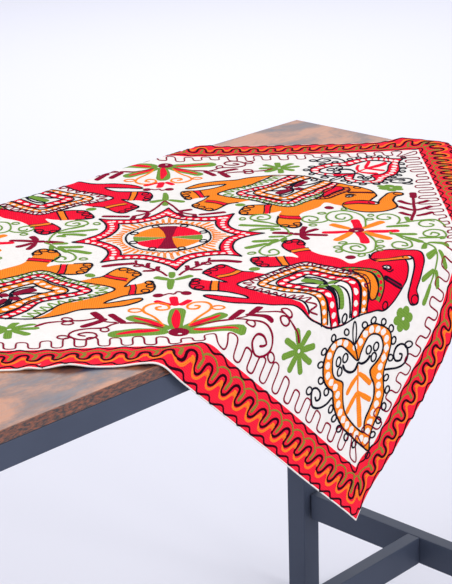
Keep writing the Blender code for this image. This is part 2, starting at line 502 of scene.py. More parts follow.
@dataclass(frozen=True)
class RusticLaminate:
    """Printed and sealed chipboard: cloudy aged-wood brown under a satin film that mirrors light."""

    name: str = "sealed_rustic_laminate"
    dark: str = "#2E2F46"
    middle: str = "#6A4335"
    light: str = "#AC6A3F"
    edge_dark: str = "#170A07"
    edge_light: str = "#84431F"
    cloud_mm: float = 70.0
    grain_mm: float = 2.5
    grain_share: float = 0.14
    film_index: float = 1.7

    def make(self) -> bpy.types.Material:
        """Builds the material on Object coordinates: its patterns are long in X, along the board."""
        recipe = Recipe(self.name)
        clouds = recipe.noise(recipe.place(0.60, 1.0, 1.0), 1000 / self.cloud_mm, 7.0, 0.64, 0.35)
        grain = recipe.noise(recipe.place(0.10, 1.0, 1.0), 1000 / (self.grain_mm * 2), 4.0, 0.6)
        flecks = recipe.noise(recipe.place(0.30, 1.0, 1.0), 1000 / self.grain_mm, 5.0, 0.7)
        print_share = recipe.maths("MULTIPLY_ADD", grain, self.grain_share, clouds)
        top = recipe.ramp(print_share, {0.45: self.dark, 0.55: self.middle, 0.66: self.light})
        edge = recipe.ramp(flecks, {0.42: self.edge_dark, 0.60: self.edge_light})
        upward = recipe.split(recipe.add("NewGeometry").outputs["Normal"])[2]
        recipe.relief(grain, 0.25, 0.0003)
        return recipe.finish(
            {
                "Base Color": recipe.blend(recipe.maths("GREATER_THAN", upward, 0.5), edge, top),
                "Roughness": recipe.stretch(grain, 0.2, 0.8, 0.30, 0.46),
                "IOR": self.film_index,
            }
        )


@dataclass(frozen=True)
class PowderCoat:
    """Baked powder on steel tube: dark blue-grey, even, with a fine orange-peel skin."""

    name: str = "powder_coated_steel_tube"
    colour: str = "#363D4D"
    worn: str = "#474F61"
    grit_mm: float = 0.8
    patches_per_m: float = 9.0
    shine: float = 0.22

    def make(self) -> bpy.types.Material:
        """Builds the material on Object coordinates."""
        recipe = Recipe(self.name)
        dust = recipe.noise(recipe.place(), self.patches_per_m, 5.0, 0.6)
        recipe.relief(recipe.noise(recipe.place(), 1000 / self.grit_mm), 0.2, 0.0002)
        return recipe.finish(
            {
                "Base Color": recipe.blend(dust, linear(self.colour), linear(self.worn)),
                "Roughness": recipe.stretch(dust, 0.3, 0.7, 0.42, 0.55),
                "Specular IOR Level": self.shine,
            }
        )


@dataclass(frozen=True)
class ZincPlate:
    """Zinc-plated steel strip: a grey metal with rolled streaks and a soft mirror."""

    name: str = "zinc_plated_steel_tab"
    colour: str = "#B4B8C2"
    streak_mm: float = 0.6

    def make(self) -> bpy.types.Material:
        """Builds the material on Object coordinates, its streaks upright."""
        recipe = Recipe(self.name)
        streaks = recipe.noise(recipe.place(1.0, 1.0, 0.05), 1000 / self.streak_mm, 3.0)
        recipe.relief(streaks, 0.15, 0.0001)
        rough = recipe.stretch(streaks, 0.3, 0.7, 0.28, 0.5)
        return recipe.finish({"Base Color": linear(self.colour), "Metallic": 1.0, "Roughness": rough})


@dataclass(frozen=True)
class StudioFloor:
    """A seamless pale paper floor: matt, nearly white."""

    name: str = "pale_paper_floor"
    colour: str = "#DCDDE6"
    teeth_per_m: float = 900.0
    roughness: float = 0.9

    def make(self) -> bpy.types.Material:
        """Builds the material."""
        recipe = Recipe(self.name)
        recipe.relief(recipe.noise(recipe.place(), self.teeth_per_m), 0.05, 0.0002)
        return recipe.finish({"Base Color": linear(self.colour), "Roughness": self.roughness})




SPAN_SAMPLES = 12
TURN_SAMPLES = 26
WAVE_STEP = 1.2
SHOULDER = 0.8
SHOULDER_GAP = 0.55
GROUND_DROP = 0.25
CAP_STEPS = (0.0, 0.12, 0.45, 1.0)
NARROW_SECTION = (-1.0, -0.62, 0.62, 1.0)


def curve_through(points: Points, closed: bool = False, step: float = 2.5) -> np.ndarray:
    """A smooth curve through points, sampled evenly along its length.

    Args:
        points: the points, in millimetres.
        closed: whether the curve joins its end to its start.
        step: the sampling distance in millimetres.

    Returns:
        One row of two coordinates for each sample. A closed curve doesn't repeat its first.
    """
    knots = np.asarray(points, dtype=float)
    if closed:
        knots = np.vstack([knots[-1:], knots, knots[:2]])
    spans = np.sqrt(np.maximum(np.hypot(*np.diff(knots, axis=0).T), 1e-6))
    times = np.concatenate([[0.0], np.cumsum(spans)])
    slopes = np.empty_like(knots)
    slopes[1:-1] = (knots[2:] - knots[:-2]) / (times[2:] - times[:-2])[:, None]
    slopes[0] = (knots[1] - knots[0]) / spans[0]
    slopes[-1] = (knots[-1] - knots[-2]) / spans[-1]
    first, last = (1, len(knots) - 2) if closed else (0, len(knots) - 1)
    t = np.linspace(0.0, 1.0, SPAN_SAMPLES, endpoint=False)[:, None]
    parts = [
        (2 * t**3 - 3 * t**2 + 1) * knots[k]
        + (t**3 - 2 * t**2 + t) * spans[k] * slopes[k]
        + (3 * t**2 - 2 * t**3) * knots[k + 1]
        + (t**3 - t**2) * spans[k] * slopes[k + 1]
        for k in range(first, last)
    ]
    return even(np.vstack([*parts, knots[last : last + 1]]), step, closed)


def travelled(path: np.ndarray) -> np.ndarray:
    """The distance along a path to each of its points."""
    return np.concatenate([[0.0], np.cumsum(np.hypot(*np.diff(path, axis=0).T))])


def points_at(path: np.ndarray, spots: np.ndarray) -> np.ndarray:
    """The points of a path at distances along it."""
    far = travelled(path)
    return np.stack([np.interp(spots, far, path[:, k]) for k in (0, 1)], axis=1)


def even(path: np.ndarray, step: float, closed: bool = False) -> np.ndarray:
    """Samples a polyline at even distances.

    Args:
        path: its points. A closed one ends on its first point.
        step: the wanted distance.
        closed: whether to leave out the last sample, which is the first one again.

    Returns:
        The samples.
    """
    length = travelled(path)[-1]
    count = max(6 if closed else 2, round(length / step))
    result = points_at(path, np.linspace(0.0, length, count + 1))
    return result[:-1] if closed else result


def evenly_closed(path: np.ndarray, step: float) -> np.ndarray:
    """Samples a polygon evenly all round, from its first corner."""
    return even(np.vstack([path, path[:1]]), step, True)


def sideways(path: np.ndarray, closed: bool) -> np.ndarray:
    """The unit directions to the right of a path, on a page whose Y points down."""
    run = np.roll(path, -1, axis=0) - np.roll(path, 1, axis=0) if closed else np.gradient(path, axis=0)
    run = run / np.maximum(np.linalg.norm(run, axis=1, keepdims=True), 1e-9)
    return np.stack([-run[:, 1], run[:, 0]], axis=1)


def beside(path: np.ndarray, distance: np.ndarray | float, closed: bool = False) -> np.ndarray:
    """The path moved to its right by a distance."""
    return path + sideways(path, closed) * np.reshape(distance, (-1, 1))


def circle(
    centre: tuple[float, float], radius: float, count: int, squash: float = 1.0, turn: float = 0.0
) -> np.ndarray:
    """Points of a circle, or of an oval that `squash` narrows and whose length slants `turn` degrees."""
    angles = np.linspace(0.0, 2 * np.pi, count, endpoint=False)
    x, y = radius * np.cos(angles), radius * squash * np.sin(angles)
    slant = math.radians(turn)
    right = centre[0] + x * math.cos(slant) - y * math.sin(slant)
    down = centre[1] + x * math.sin(slant) + y * math.cos(slant)
    return np.column_stack([right, down])


def pearls(path: np.ndarray, spacing: float, radius: float) -> list[np.ndarray]:
    """Small round holes set along a path."""
    spots = np.arange(spacing / 2, travelled(path)[-1] - spacing / 3, spacing)
    return [circle(spot, radius, 8) for spot in points_at(path, spots)]


def waved(path: np.ndarray, depth: float, pitch: float) -> np.ndarray:
    """A wave along a path, of a half height and a length."""
    fine = even(path, WAVE_STEP)
    far = np.arange(len(fine)) * WAVE_STEP
    return beside(fine, depth * np.sin(far * TAU / pitch))


def inside(points: np.ndarray, outline: np.ndarray) -> np.ndarray:
    """Tells which points lie inside a closed outline."""
    x, y = points[:, 0:1], points[:, 1:2]
    ax, ay = outline[:, 0], outline[:, 1]
    bx, by = np.roll(ax, -1), np.roll(ay, -1)
    crosses = (ay > y) != (by > y)
    rise = np.where(by == ay, 1e-12, by - ay)
    return (np.sum(crosses & (x < ax + (y - ay) * (bx - ax) / rise), axis=1) % 2) == 1


def within(points: np.ndarray, rims: list[np.ndarray]) -> np.ndarray:
    """Tells which points lie inside the first rim and outside the others."""
    return inside(points, rims[0]) & ~np.any([inside(points, hole) for hole in rims[1:]], axis=0)


def gap_to(points: np.ndarray, outline: np.ndarray) -> np.ndarray:
    """The distance from each point to the nearest sample of an outline."""
    return np.min(np.hypot(points[:, 0:1] - outline[:, 0], points[:, 1:2] - outline[:, 1]), axis=1)


def grid_faces(long: int, wide: int, closed: bool) -> tuple[np.ndarray, ...]:
    """The faces of a grid of points.

    Args:
        long: how many rows of points it has.
        wide: how many points a row has.
        closed: whether its last row joins its first.

    Returns:
        The faces, and for each face its row, its column and the next row.
    """
    i, j = (part.ravel() for part in np.indices((long if closed else long - 1, wide - 1)))
    k = (i + 1) % long
    return np.stack([i * wide + j, k * wide + j, k * wide + j + 1, i * wide + j + 1], axis=1), i, j, k


@dataclass
class Skein:
    """All stitches of one yarn, gathered as arrays and made into one piece."""

    thread: Thread
    places: list[np.ndarray] = field(default_factory=list)
    faces: list[list[int]] = field(default_factory=list)
    corners: list[np.ndarray] = field(default_factory=list)
    count: int = 0

    def add(self, places: np.ndarray, faces: np.ndarray, corners: np.ndarray) -> None:
        """Adds a mesh part.

        Args:
            places: rows of u, v and lift, in millimetres.
            faces: rows of point numbers.
            corners: for each face, a row of two row coordinates for each of its corners.
        """
        self.places.append(places)
        self.faces.extend((faces + self.count).tolist())
        self.corners.append(corners.reshape(-1, 2))
        self.count += len(places)

    def make(self, drape: Drape) -> bpy.types.Object:
        """Lays the stitches on the draped cloth as one object.

        Args:
            drape: the draped surface.

        Returns:
            The object, with its material.
        """
        flat = np.vstack(self.places)
        laid = drape.lay(flat[:, 0] * MM, flat[:, 1] * MM, flat[:, 2] * MM)
        piece = mesh_object(f"thread_{self.thread.name.lower()}", laid, self.faces)
        layer = piece.data.uv_layers.new(name="rows")
        layer.data.foreach_set("uv", np.vstack(self.corners).astype(np.float32).ravel())
        piece.data.materials.append(ChainStitch(self.thread).make())
        return piece


def mesh_object(name: str, places: np.ndarray, faces: list[list[int]]) -> bpy.types.Object:
    """An object from points and faces, smooth-shaded, in the scene."""
    mesh = bpy.data.meshes.new(name)
    mesh.from_pydata(places.tolist(), [], faces)
    mesh.shade_smooth()
    piece = bpy.data.objects.new(name, mesh)
    bpy.context.scene.collection.objects.link(piece)
    return piece


def deselect() -> None:
    """Deselects every object."""
    bpy.ops.object.select_all(action="DESELECT")


def choose(piece: bpy.types.Object) -> None:
    """Makes one object the only selected and active one."""
    deselect()
    piece.select_set(True)
    bpy.context.view_layer.objects.active = piece


@dataclass(frozen=True)
class Quarter:
    """A quarter of the design: how its page is turned, which yarns it uses, and its own pulls.

    A pull is a point of the page and how far right and down the hand drew the design there.
    """

    flip_x: int
    flip_y: int
    inward: float
    body: Thread
    trim: Thread
    ladder: Thread
    bow: Thread
    spray: Thread
    pulls: Pulls


RED_YARNS = (Thread.RED, Thread.ORANGE, Thread.MAROON, Thread.GREEN, Thread.GREEN)
ORANGE_YARNS = (Thread.ORANGE, Thread.RED, Thread.GREEN, Thread.MAROON, Thread.MAROON)
LOWER_RIGHT_PULLS = (
    (177, 27, 1, 5), (170, 76, 2, 6), (195, 64, -1, 11), (117, 92, -1, 10), (138, 134, -1, 7),
    (76, 113, 1, 11), (54, 141, -1, 11), (37, 190, 0, 4), (45, 168, 1, 6), (48, 212, 1, 6),
    (305, 81, -1, 6), (271, 106, -1, 5), (354, 169, 1, 2), (243, 128, 0, 5), (302, 205, 0, 2),
    (319, 160, -1, 3), (187, 117, -3, 9), (97, 190, -2, 9), (56, 228, -3, 9), (108, 242, 1, 9),
    (132, 262, -3, 9), (152, 272, -5, 16), (183, 282, 0, 4), (225, 275, 0, 5), (265, 238, 0, 6),
    (247, 170, 0, 7), (245, 104, 0, 8), (60, 100, 0, 9), (32, 130, 0, 9), (300, 300, 0, 0),
    (255, 300, 0, 0), (320, 235, 0, 0), (285, 250, 0, 0), (345, 201, 0, 0), (380, 100, 0, 0),
    (280, 340, 0, 0),
)
UPPER_RIGHT_PULLS = (
    (55, 229, -14, -10), (38, 190, -1, 2), (45, 170, 4, -5), (54, 140, -5, -4), (76, 114, 0, -6),
    (186, 117, -7, -1), (97, 190, -10, -4), (183, 280, -19, -3), (226, 276, -19, -8), (270, 230, -17, -2),
    (320, 160, -16, 5), (353, 168, -9, -13), (305, 80, -7, -2), (284, 127, -25, -4), (316, 125, -20, -6),
    (243, 130, -11, 5), (175, 27, 6, -9), (120, 95, 0, -8), (121, 137, -2, -5), (245, 104, -11, -1),
    (192, 326, -17, -6), (345, 201, -12, -9), (345, 180, -12, -9), (370, 215, -16, -8), (258, 185, -17, 5),
    (352, 100, 0, 4), (283, 272, -14, -14), (299, 231, -26, 0), (320, 225, -26, -8), (344, 236, -29, -18),
    (338, 262, -22, -18), (359, 277, -27, -33), (378, 300, -36, -36), (386, 334, -33, -40),
    (401, 366, -43, -24), (386, 367, -31, -14), (350, 367, -14, -5), (311, 361, -9, 0), (286, 343, -13, -1),
    (252, 332, -12, -4), (242, 296, -24, 2), (256, 279, -26, -8), (335, 320, -27, -14),
    (364, 322, -27, -23), (385, 245, -20, -8),
)
LOWER_LEFT_PULLS = (
    (180, 27, -6, 13), (182, 68, -13, 15), (117, 105, -4, 11), (140, 135, -15, 11), (121, 137, -9, 8),
    (76, 113, -5, 11), (54, 141, 0, 8), (37, 190, -5, 8), (45, 168, -4, 13), (50, 212, 0, 14),
    (55, 229, -13, 11), (109, 243, -20, 9), (97, 190, -16, 11), (186, 117, -21, 9), (182, 283, -22, 16),
    (226, 276, -22, 10), (84, 99, 1, 10), (32, 130, 0, 10), (192, 326, -10, 3),
)
UPPER_LEFT_PULLS = (
    (180, 27, -5, -2), (97, 190, 1, -9), (55, 229, 1, 2), (37, 190, 5, -2), (54, 140, 6, -5),
    (120, 100, 2, -2), (170, 76, -2, -1), (138, 134, 2, -2),
)
QUARTERS = (
    Quarter(1, 1, 0.0, *RED_YARNS, LOWER_RIGHT_PULLS),
    Quarter(1, -1, 12.0, *ORANGE_YARNS, UPPER_RIGHT_PULLS),
    Quarter(-1, 1, 27.0, *ORANGE_YARNS, LOWER_LEFT_PULLS),
    Quarter(-1, -1, 23.0, *RED_YARNS, UPPER_LEFT_PULLS),
)


def hand_sway(u: np.ndarray, v: np.ndarray) -> np.ndarray:
    """How far a hand strays right and up from a drawing: a slow sway and a quick one."""
    slow, quick = 1.3, 0.5
    right = slow * np.sin(u * 0.037 + 1.1) * np.cos(v * 0.045) + quick * np.sin(v * 0.11 + u * 0.07)
    up = slow * np.cos(u * 0.041) * np.sin(v * 0.035 + 0.6) + quick * np.sin(u * 0.12 - v * 0.05)
    return np.stack([right, up], axis=1)


@dataclass
class Needle:
    """Stitches lines, loops and filled patches on a page, in millimetres.

    A page has X to the right and Y down, from the cloth's middle, for the lower right quarter.
    `flip_x` and `flip_y` turn it to another quarter, and `inward` slides what is near the middle
    towards it. Stitches reach from `sunk` inside the cloth to `loft` over its face, and each
    level of stitching lies one `layer` higher.
    """

    skeins: dict[Thread, Skein]
    flip_x: int = 1
    flip_y: int = 1
    inward: float = 0.0
    pulls: Pulls = ()
    pull_reach: float = 26.0
    face: float = 0.8
    sunk: float = 0.25
    loft: float = 0.60
    layer: float = 0.30
    row: float = 2.4
    wobble: float = 0.13

    def pulled(self, page: np.ndarray) -> np.ndarray:
        """Page points as the hand drew them: each goes with the pulls around it."""
        if not self.pulls:
            return page
        pulls = np.array(self.pulls, dtype=float)
        gaps = np.hypot(page[:, 0:1] - pulls[:, 0], page[:, 1:2] - pulls[:, 1]) / self.pull_reach
        share = np.exp(-(gaps**2)) + 0.02 * np.exp(-((gaps / 3) ** 2))
        return page + share @ pulls[:, 2:] / (share.sum(axis=1, keepdims=True) + 0.002)

    def place(self, page: np.ndarray) -> np.ndarray:
        """Turns page points into distances right and up of the cloth's middle."""
        near = 1.0 - smooth((page[:, 0] - 60.0) / 220.0)
        drawn = self.pulled(page)
        u = (drawn[:, 0] - self.inward * near) * self.flip_x
        v = -drawn[:, 1] * self.flip_y
        fade = smooth((380.0 - np.maximum(np.abs(u), np.abs(v))) / 60.0)
        return np.stack([u, v], axis=1) + hand_sway(u, v) * fade[:, None]

    def crest(self, level: int) -> float:
        """How high stitches of a level stand off the cloth's middle layer."""
        return self.face + self.loft + self.layer * level

    @staticmethod
    def fullness(shape: Shape, share: np.ndarray) -> np.ndarray:
        """How much of its full width a line has, at shares of its length."""
        if shape is Shape.LEAF:
            return 0.18 + 0.82 * np.sin(np.pi * np.clip(share, 0, 1) ** 0.85) ** 0.8
        if shape is Shape.BUD:
            return 0.72 + 0.28 * smooth(share / 0.5)
        if shape is Shape.TAIL:
            return 1.0 - 0.62 * smooth(share)
        return np.ones(len(share))

    def sew(
        self,
        thread: Thread,
        path: np.ndarray,
        width: float,
        level: int = 1,
        closed: bool = False,
        shape: Shape = Shape.CORD,
    ) -> None:
        """Sews a sampled path as a raised line, with round ends unless it is closed.

        Args:
            thread: its yarn.
            path: its samples on the page.
            width: its full width.
            level: how many layers of stitching lie under it.
            closed: whether it joins its end to its start.
            shape: how its width runs.
        """
        far = travelled(path)
        length = far[-1]
        rounded = np.ones(len(path))
        if not closed:
            cap = min(width / 2, length / 3)
            ends = np.array(CAP_STEPS) * cap
            inner = far[(far > cap * 1.2) & (far < length - cap * 1.2)]
            spots = np.concatenate([ends, inner, length - ends[::-1]])
            path, far = points_at(path, spots), spots
            rise = np.clip(np.minimum(far, length - far) / max(cap, 1e-6), 0.0, 1.0)
            rounded = np.sqrt(1.0 - (1.0 - rise) ** 2)
        half = width / 2 * self.fullness(shape, far / max(length, 1e-6))
        half = half + self.wobble * np.sin(far * 2.9 + width)
        half = half * np.maximum(rounded, 0.08)
        across = np.array(NARROW_SECTION)
        if width >= 6.0:
            across = np.concatenate([[-1.0], np.linspace(-0.86, 0.86, 3 + 2 * int(width / 7)), [1.0]])
        points = path[:, None] + sideways(path, closed)[:, None] * np.outer(half, across)[:, :, None]
        bottom = self.face - self.sunk
        height = (self.crest(level) + 0.10 * np.sin(far * 0.21 + width) - bottom) * rounded
        lifts = bottom + np.outer(height, np.abs(across) < 1.0)
        places = np.column_stack([self.place(points.reshape(-1, 2)), lifts.ravel()])
        rows = (across + 1) / 2 * max(1, round(width / self.row))
        self.join(thread, places, far, rows, length, closed)

    def join(
        self,
        thread: Thread,
        places: np.ndarray,
        far: np.ndarray,
        rows: np.ndarray,
        length: float,
        closed: bool,
    ) -> None:
        """Joins a grid of points into faces that look up.

        Args:
            thread: its yarn.
            places: the points, one row of the grid after the other.
            far: how far along the line each row of the grid lies.
            rows: how many rows of stitches lie before each point of a row.
            length: the line's length.
            closed: whether the last row of the grid joins the first.
        """
        long = len(far)
        faces, i, j, k = grid_faces(long, len(rows), closed)
        end = np.where(k == 0, length * (1 + 1 / max(long - 1, 1)), far[k])
        sides = ((far[i], j), (end, j), (end, j + 1), (far[i], j + 1))
        corners = np.stack([np.stack([along, rows[row]], axis=1) for along, row in sides], axis=1)
        if self.flip_x * self.flip_y > 0:
            faces = faces[:, ::-1]
            corners = corners[:, ::-1]
        self.skeins[thread].add(places, faces, corners)

    def cord(
        self,
        thread: Thread,
        points: Points,
        width: float,
        level: int = 1,
        shape: Shape = Shape.CORD,
        closed: bool = False,
        step: float = 2.5,
    ) -> None:
        """Sews a smooth line through a few points."""
        self.sew(thread, curve_through(points, closed, step), width, level, closed, shape)

    def ring(
        self,
        thread: Thread,
        centre: tuple[float, float],
        radius: float,
        width: float,
        level: int = 1,
        squash: float = 1.0,
        turn: float = 0.0,
    ) -> None:
        """Sews a small loop, round or as `circle` squashes and turns it."""
        path = circle(centre, radius, max(10, round(radius * 3.0)), squash, turn)
        self.sew(thread, path, width, level, closed=True)

    def patch(
        self,
        thread: Thread,
        outline: np.ndarray,
        holes: Iterable[np.ndarray] = (),
        level: int = 0,
        spacing: float = 4.5,
    ) -> None:
        """Fills a closed outline with upright rows of stitches, left open at its holes.

        Args:
            thread: its yarn.
            outline: the samples of its edge on the page.
            holes: the samples of its holes' edges.
            level: how many layers of stitching lie under it.
            spacing: the distance between the mesh's inner points.
        """
        rims = [outline, *holes]
        edges = []
        first = 0
        for rim in rims:
            edges += [(first + k, first + (k + 1) % len(rim)) for k in range(len(rim))]
            first += len(rim)
        points = np.vstack([*rims, *self.filling(rims, spacing)])
        found = delaunay_2d_cdt([tuple(p) for p in points], edges, [], 0, 1e-4)
        flat = np.array([tuple(p) for p in found[0]])
        triangles = np.array(found[2])
        triangles = triangles[within(flat[triangles].mean(axis=1), rims)]
        used, numbers = np.unique(triangles, return_inverse=True)
        flat = flat[used]
        triangles = numbers.reshape(-1, 3)
        on_rim = np.min([gap_to(flat, rim) for rim in rims], axis=0) < 0.05
        lifts = np.where(on_rim, self.face - self.sunk, self.crest(level) - GROUND_DROP)
        places = np.column_stack([self.place(flat), lifts])
        a, b, c = (places[triangles[:, k], :2] for k in range(3))
        turned = (b[:, 0] - a[:, 0]) * (c[:, 1] - a[:, 1]) - (b[:, 1] - a[:, 1]) * (c[:, 0] - a[:, 0]) < 0
        triangles[turned] = triangles[turned][:, ::-1]
        rows = flat[:, ::-1] / np.array([1.0, self.row])
        self.skeins[thread].add(places, triangles, rows[triangles])

    @staticmethod
    def filling(rims: list[np.ndarray], spacing: float) -> list[np.ndarray]:
        """The mesh points inside a patch: shoulders beside its rims, and an even grid."""
        shoulders = []
        for rim in rims:
            for sign in (-1, 1):
                ring = beside(rim, sign * SHOULDER, True)
                clear = np.min([gap_to(ring, other) for other in rims], axis=0) > SHOULDER_GAP
                shoulders.append(ring[clear & within(ring, rims)])
        low, high = rims[0].min(axis=0), rims[0].max(axis=0)
        xs = np.arange(low[0], high[0], spacing)
        ys = np.arange(low[1], high[1], spacing * 0.866)
        grid = np.array([(x + (n % 2) * spacing / 2, y) for n, y in enumerate(ys) for x in xs])
        clear = np.min([gap_to(grid, rim) for rim in rims], axis=0) > spacing / 2
        return [*shoulders, grid[clear & within(grid, rims)]]


def unsteady(t: np.ndarray | float, k: float) -> np.ndarray | float:
    """A slow unevenness between about -1 and 1, another one for each `k`."""
    return 0.6 * np.sin(t * 0.71 + k) + 0.4 * np.sin(t * 1.93 + 2.1 * k)


@dataclass(frozen=True)
class WavyLine:
    """A line that repeats round the border.

    `drawing` gives, for repeats counted as turns, its steps along the border and its depths in
    from the edge, in millimetres. `middle` is its middle depth.
    """

    thread: Thread
    count: int
    width: float
    middle: float
    level: int
    drawing: Callable[[np.ndarray], Steps]


def inner_wave(t: np.ndarray) -> Steps:
    """The low dark wave on the ground's inner edge."""
    return 1.5 * unsteady(t, 0.4), 51.2 + 2.8 * np.sin(TAU * t) + 0.8 * unsteady(t, 1.0)


def outer_wave(t: np.ndarray) -> Steps:
    """The low dark wave beside the hem."""
    wave = np.sin(TAU * t + 1.0)
    return 2.5 * wave + 2.0 * unsteady(t, 2.4), 5.2 + 3.1 * wave + 1.1 * unsteady(t, 3.0)


def bold_wave(t: np.ndarray) -> Steps:
    """The high dark wave in the ground's middle, whose sides swell."""
    wave = np.cos(TAU * t)
    step = (2.8 + 1.8 * np.sin(0.31 * t)) * wave + 1.9 * np.sin(2 * TAU * t) + 1.0 * unsteady(t, 5.0)
    return step, 27.3 + 9.9 * wave + 1.2 * unsteady(t, 0.2)


def garland(t: np.ndarray) -> Steps:
    """The orange line that rises to a point inside each bold wave."""
    wave = np.cos(TAU * t)
    return 2.0 * wave, 12.8 + 15.5 * (0.5 + 0.5 * wave) ** 1.7 + 1.2 * unsteady(t, 0.2)


def meander(t: np.ndarray) -> Steps:
    """The loose maroon line on the white ground inside the border, low above the hanging corner."""
    high = 11.8 + 3.8 * unsteady(t, 6.1)
    high *= 1.0 - 0.55 * np.exp(-(((t - 41.6) / 2.7) ** 4))
    swing = np.tanh(1.3 * np.sin(TAU * t)) / np.tanh(1.3)
    step = 1.6 * unsteady(t, 1.7) - 2.6 * np.sin(2 * TAU * t) - 1.5 * np.sin(TAU * t)
    return step, 59.5 + high * (1.0 + swing)


SCALLOP = ((-16.5, 37.5), (-11, 42.5), (-3, 45.3), (5, 45.0), (11, 41.5), (15, 36.0))
BORDER_STROKES = (
    (Thread.OLIVE, 2.7, Shape.CORD, SCALLOP),
    (Thread.OLIVE, 5.0, Shape.BUD, ((-11.8, 39.0), (-13.6, 31.5), (-16.6, 22.8))),
    (Thread.FLAME, 6.6, Shape.CORD, ((0.4, 23.0), (1.2, 27.0), (2.4, 31.5))),
)


@dataclass
class Border:
    """The red border: its stitched ground and the wavy lines that run round it."""

    needle: Needle
    half: float = 450.0
    turn: float = 30.0
    narrowing: float = 0.17
    depths: tuple[float, ...] = (0.9, 1.7, *np.linspace(6.0, 51.0, 11), 54.7, 55.5)
    columns: int = 1680
    repeats: int = 31
    middle: float = 27.0

    def round_point(self, far: np.ndarray, depth: np.ndarray, middle: float | None = None) -> np.ndarray:
        """Turns distances round the border and depths in from the edge into page points.

        Args:
            far: distances from the middle of the lower side, rightwards and on round the square.
            depth: distances in from the edge.
            middle: the depth whose square the steps along are measured on. Without it, each
                depth is measured on its own square, as for a ground that fills the corners.

        Returns:
            The page points.
        """
        full = 2 * self.half
        side = np.floor((far + self.half) / full).astype(int) % 4
        along = (far + self.half) % full - self.half
        low = smooth((-along - 90.0) / 120.0) * (1.0 - smooth((-along - 390.0) / 50.0))
        depth = depth * (1.0 - self.narrowing * low * (side == 1))
        base = depth if middle is None else np.full(len(far), middle)
        lean = smooth((np.abs(along) - self.half + self.turn) / self.turn) * np.sign(along)
        reach = self.half - depth
        along = along * (self.half - base) / self.half - lean * (depth - base)
        x = np.choose(side, [along, reach, -along, -reach])
        y = np.choose(side, [reach, -along, -reach, along])
        return np.stack([x, y], axis=1)

    def ground(self) -> None:
        """Covers the border with rows of red stitches that run along it."""
        depths = np.array(self.depths)
        lifts = np.full(len(depths), self.needle.crest(0) - GROUND_DROP)
        lifts[[0, -1]] = self.needle.face - self.needle.sunk
        far = np.linspace(-self.half, 7 * self.half, self.columns, endpoint=False)
        grid_far, grid_depth = np.meshgrid(far, depths, indexing="ij")
        pages = self.round_point(grid_far.ravel(), grid_depth.ravel())
        places = np.column_stack([self.needle.place(pages), np.tile(lifts, self.columns)])
        rows = -depths / self.needle.row
        self.needle.join(Thread.CORAL, places, far, rows, 8 * self.half, True)

    def line(self, wavy: WavyLine) -> None:
        """Sews a repeating line round the whole border."""
        turns = np.linspace(0.0, 4 * wavy.count, 4 * wavy.count * TURN_SAMPLES, endpoint=False)
        step, depth = wavy.drawing(turns)
        pitch = 2 * self.half / wavy.count
        path = self.round_point(turns * pitch - self.half + step, depth, wavy.middle)
        self.needle.sew(wavy.thread, evenly_closed(path, 2.2), wavy.width, wavy.level, closed=True)

    def repeat(self) -> None:
        """Sews the olive scallop with its drop, and the flame, of each bold wave."""
        for number in range(4 * self.repeats):
            far = number * 2 * self.half / self.repeats - self.half
            lift = 1.2 * unsteady(float(number), 0.2)
            for thread, width, shape, stroke in BORDER_STROKES:
                spots = np.array(stroke)
                page = self.round_point(far + spots[:, 0], spots[:, 1] + lift, self.middle)
                self.needle.cord(thread, page, width, 1, shape)

    def build(self) -> None:
        """Sews the ground and all lines of the border."""
        self.ground()
        self.line(WavyLine(Thread.DUSK, 27, 2.9, 51.0, 1, inner_wave))
        self.line(WavyLine(Thread.DUSK, 32, 3.2, 5.0, 1, outer_wave))
        self.line(WavyLine(Thread.DUSK, self.repeats, 3.9, self.middle, 2, bold_wave))
        self.line(WavyLine(Thread.FLAME, self.repeats, 4.2, self.middle, 1, garland))
        self.repeat()
        self.line(WavyLine(Thread.MAROON, 28, 2.5, 72.0, 0, meander))


BEAST = (
    (45, 167), (38, 178), (37, 192), (42, 206), (54, 212), (72, 215), (90, 222), (104, 233), (109, 243),
    (98, 240), (78, 233), (60, 227), (55, 229), (64, 240), (86, 254), (112, 260), (132, 262), (152, 272),
    (182, 283), (204, 281), (226, 276), (245, 262), (264, 239), (290, 217), (304, 210), (312, 196),
    (318, 170), (320, 157), (315, 141), (310, 124), (319, 119), (324, 134), (329, 155), (335, 172),
    (346, 178), (355, 171), (351, 162), (343, 156), (340, 138), (338, 115), (333, 97), (320, 84),
    (303, 80), (286, 84), (274, 94), (270, 111), (258, 118), (243, 127), (231, 108), (207, 85), (195, 66),
    (189, 50), (186, 33), (175, 25), (160, 40), (160, 56), (169, 76), (177, 97), (166, 92), (140, 90),
    (120, 91), (116, 100), (121, 117), (129, 130), (145, 133), (162, 131), (150, 144), (136, 157),
    (120, 149), (104, 142), (86, 117), (76, 113), (63, 126), (54, 140), (60, 153), (72, 168), (84, 184),
    (68, 178), (55, 173),
)
EYE = (286.0, 158.0)
SADDLE = (
    (185, 117), (162, 134), (140, 155), (116, 175), (97, 190), (110, 211), (136, 231), (157, 240),
    (168, 262), (183, 280), (204, 279), (225, 274), (244, 260), (262, 240), (272, 227), (262, 208),
    (247, 170), (232, 147), (208, 131),
)


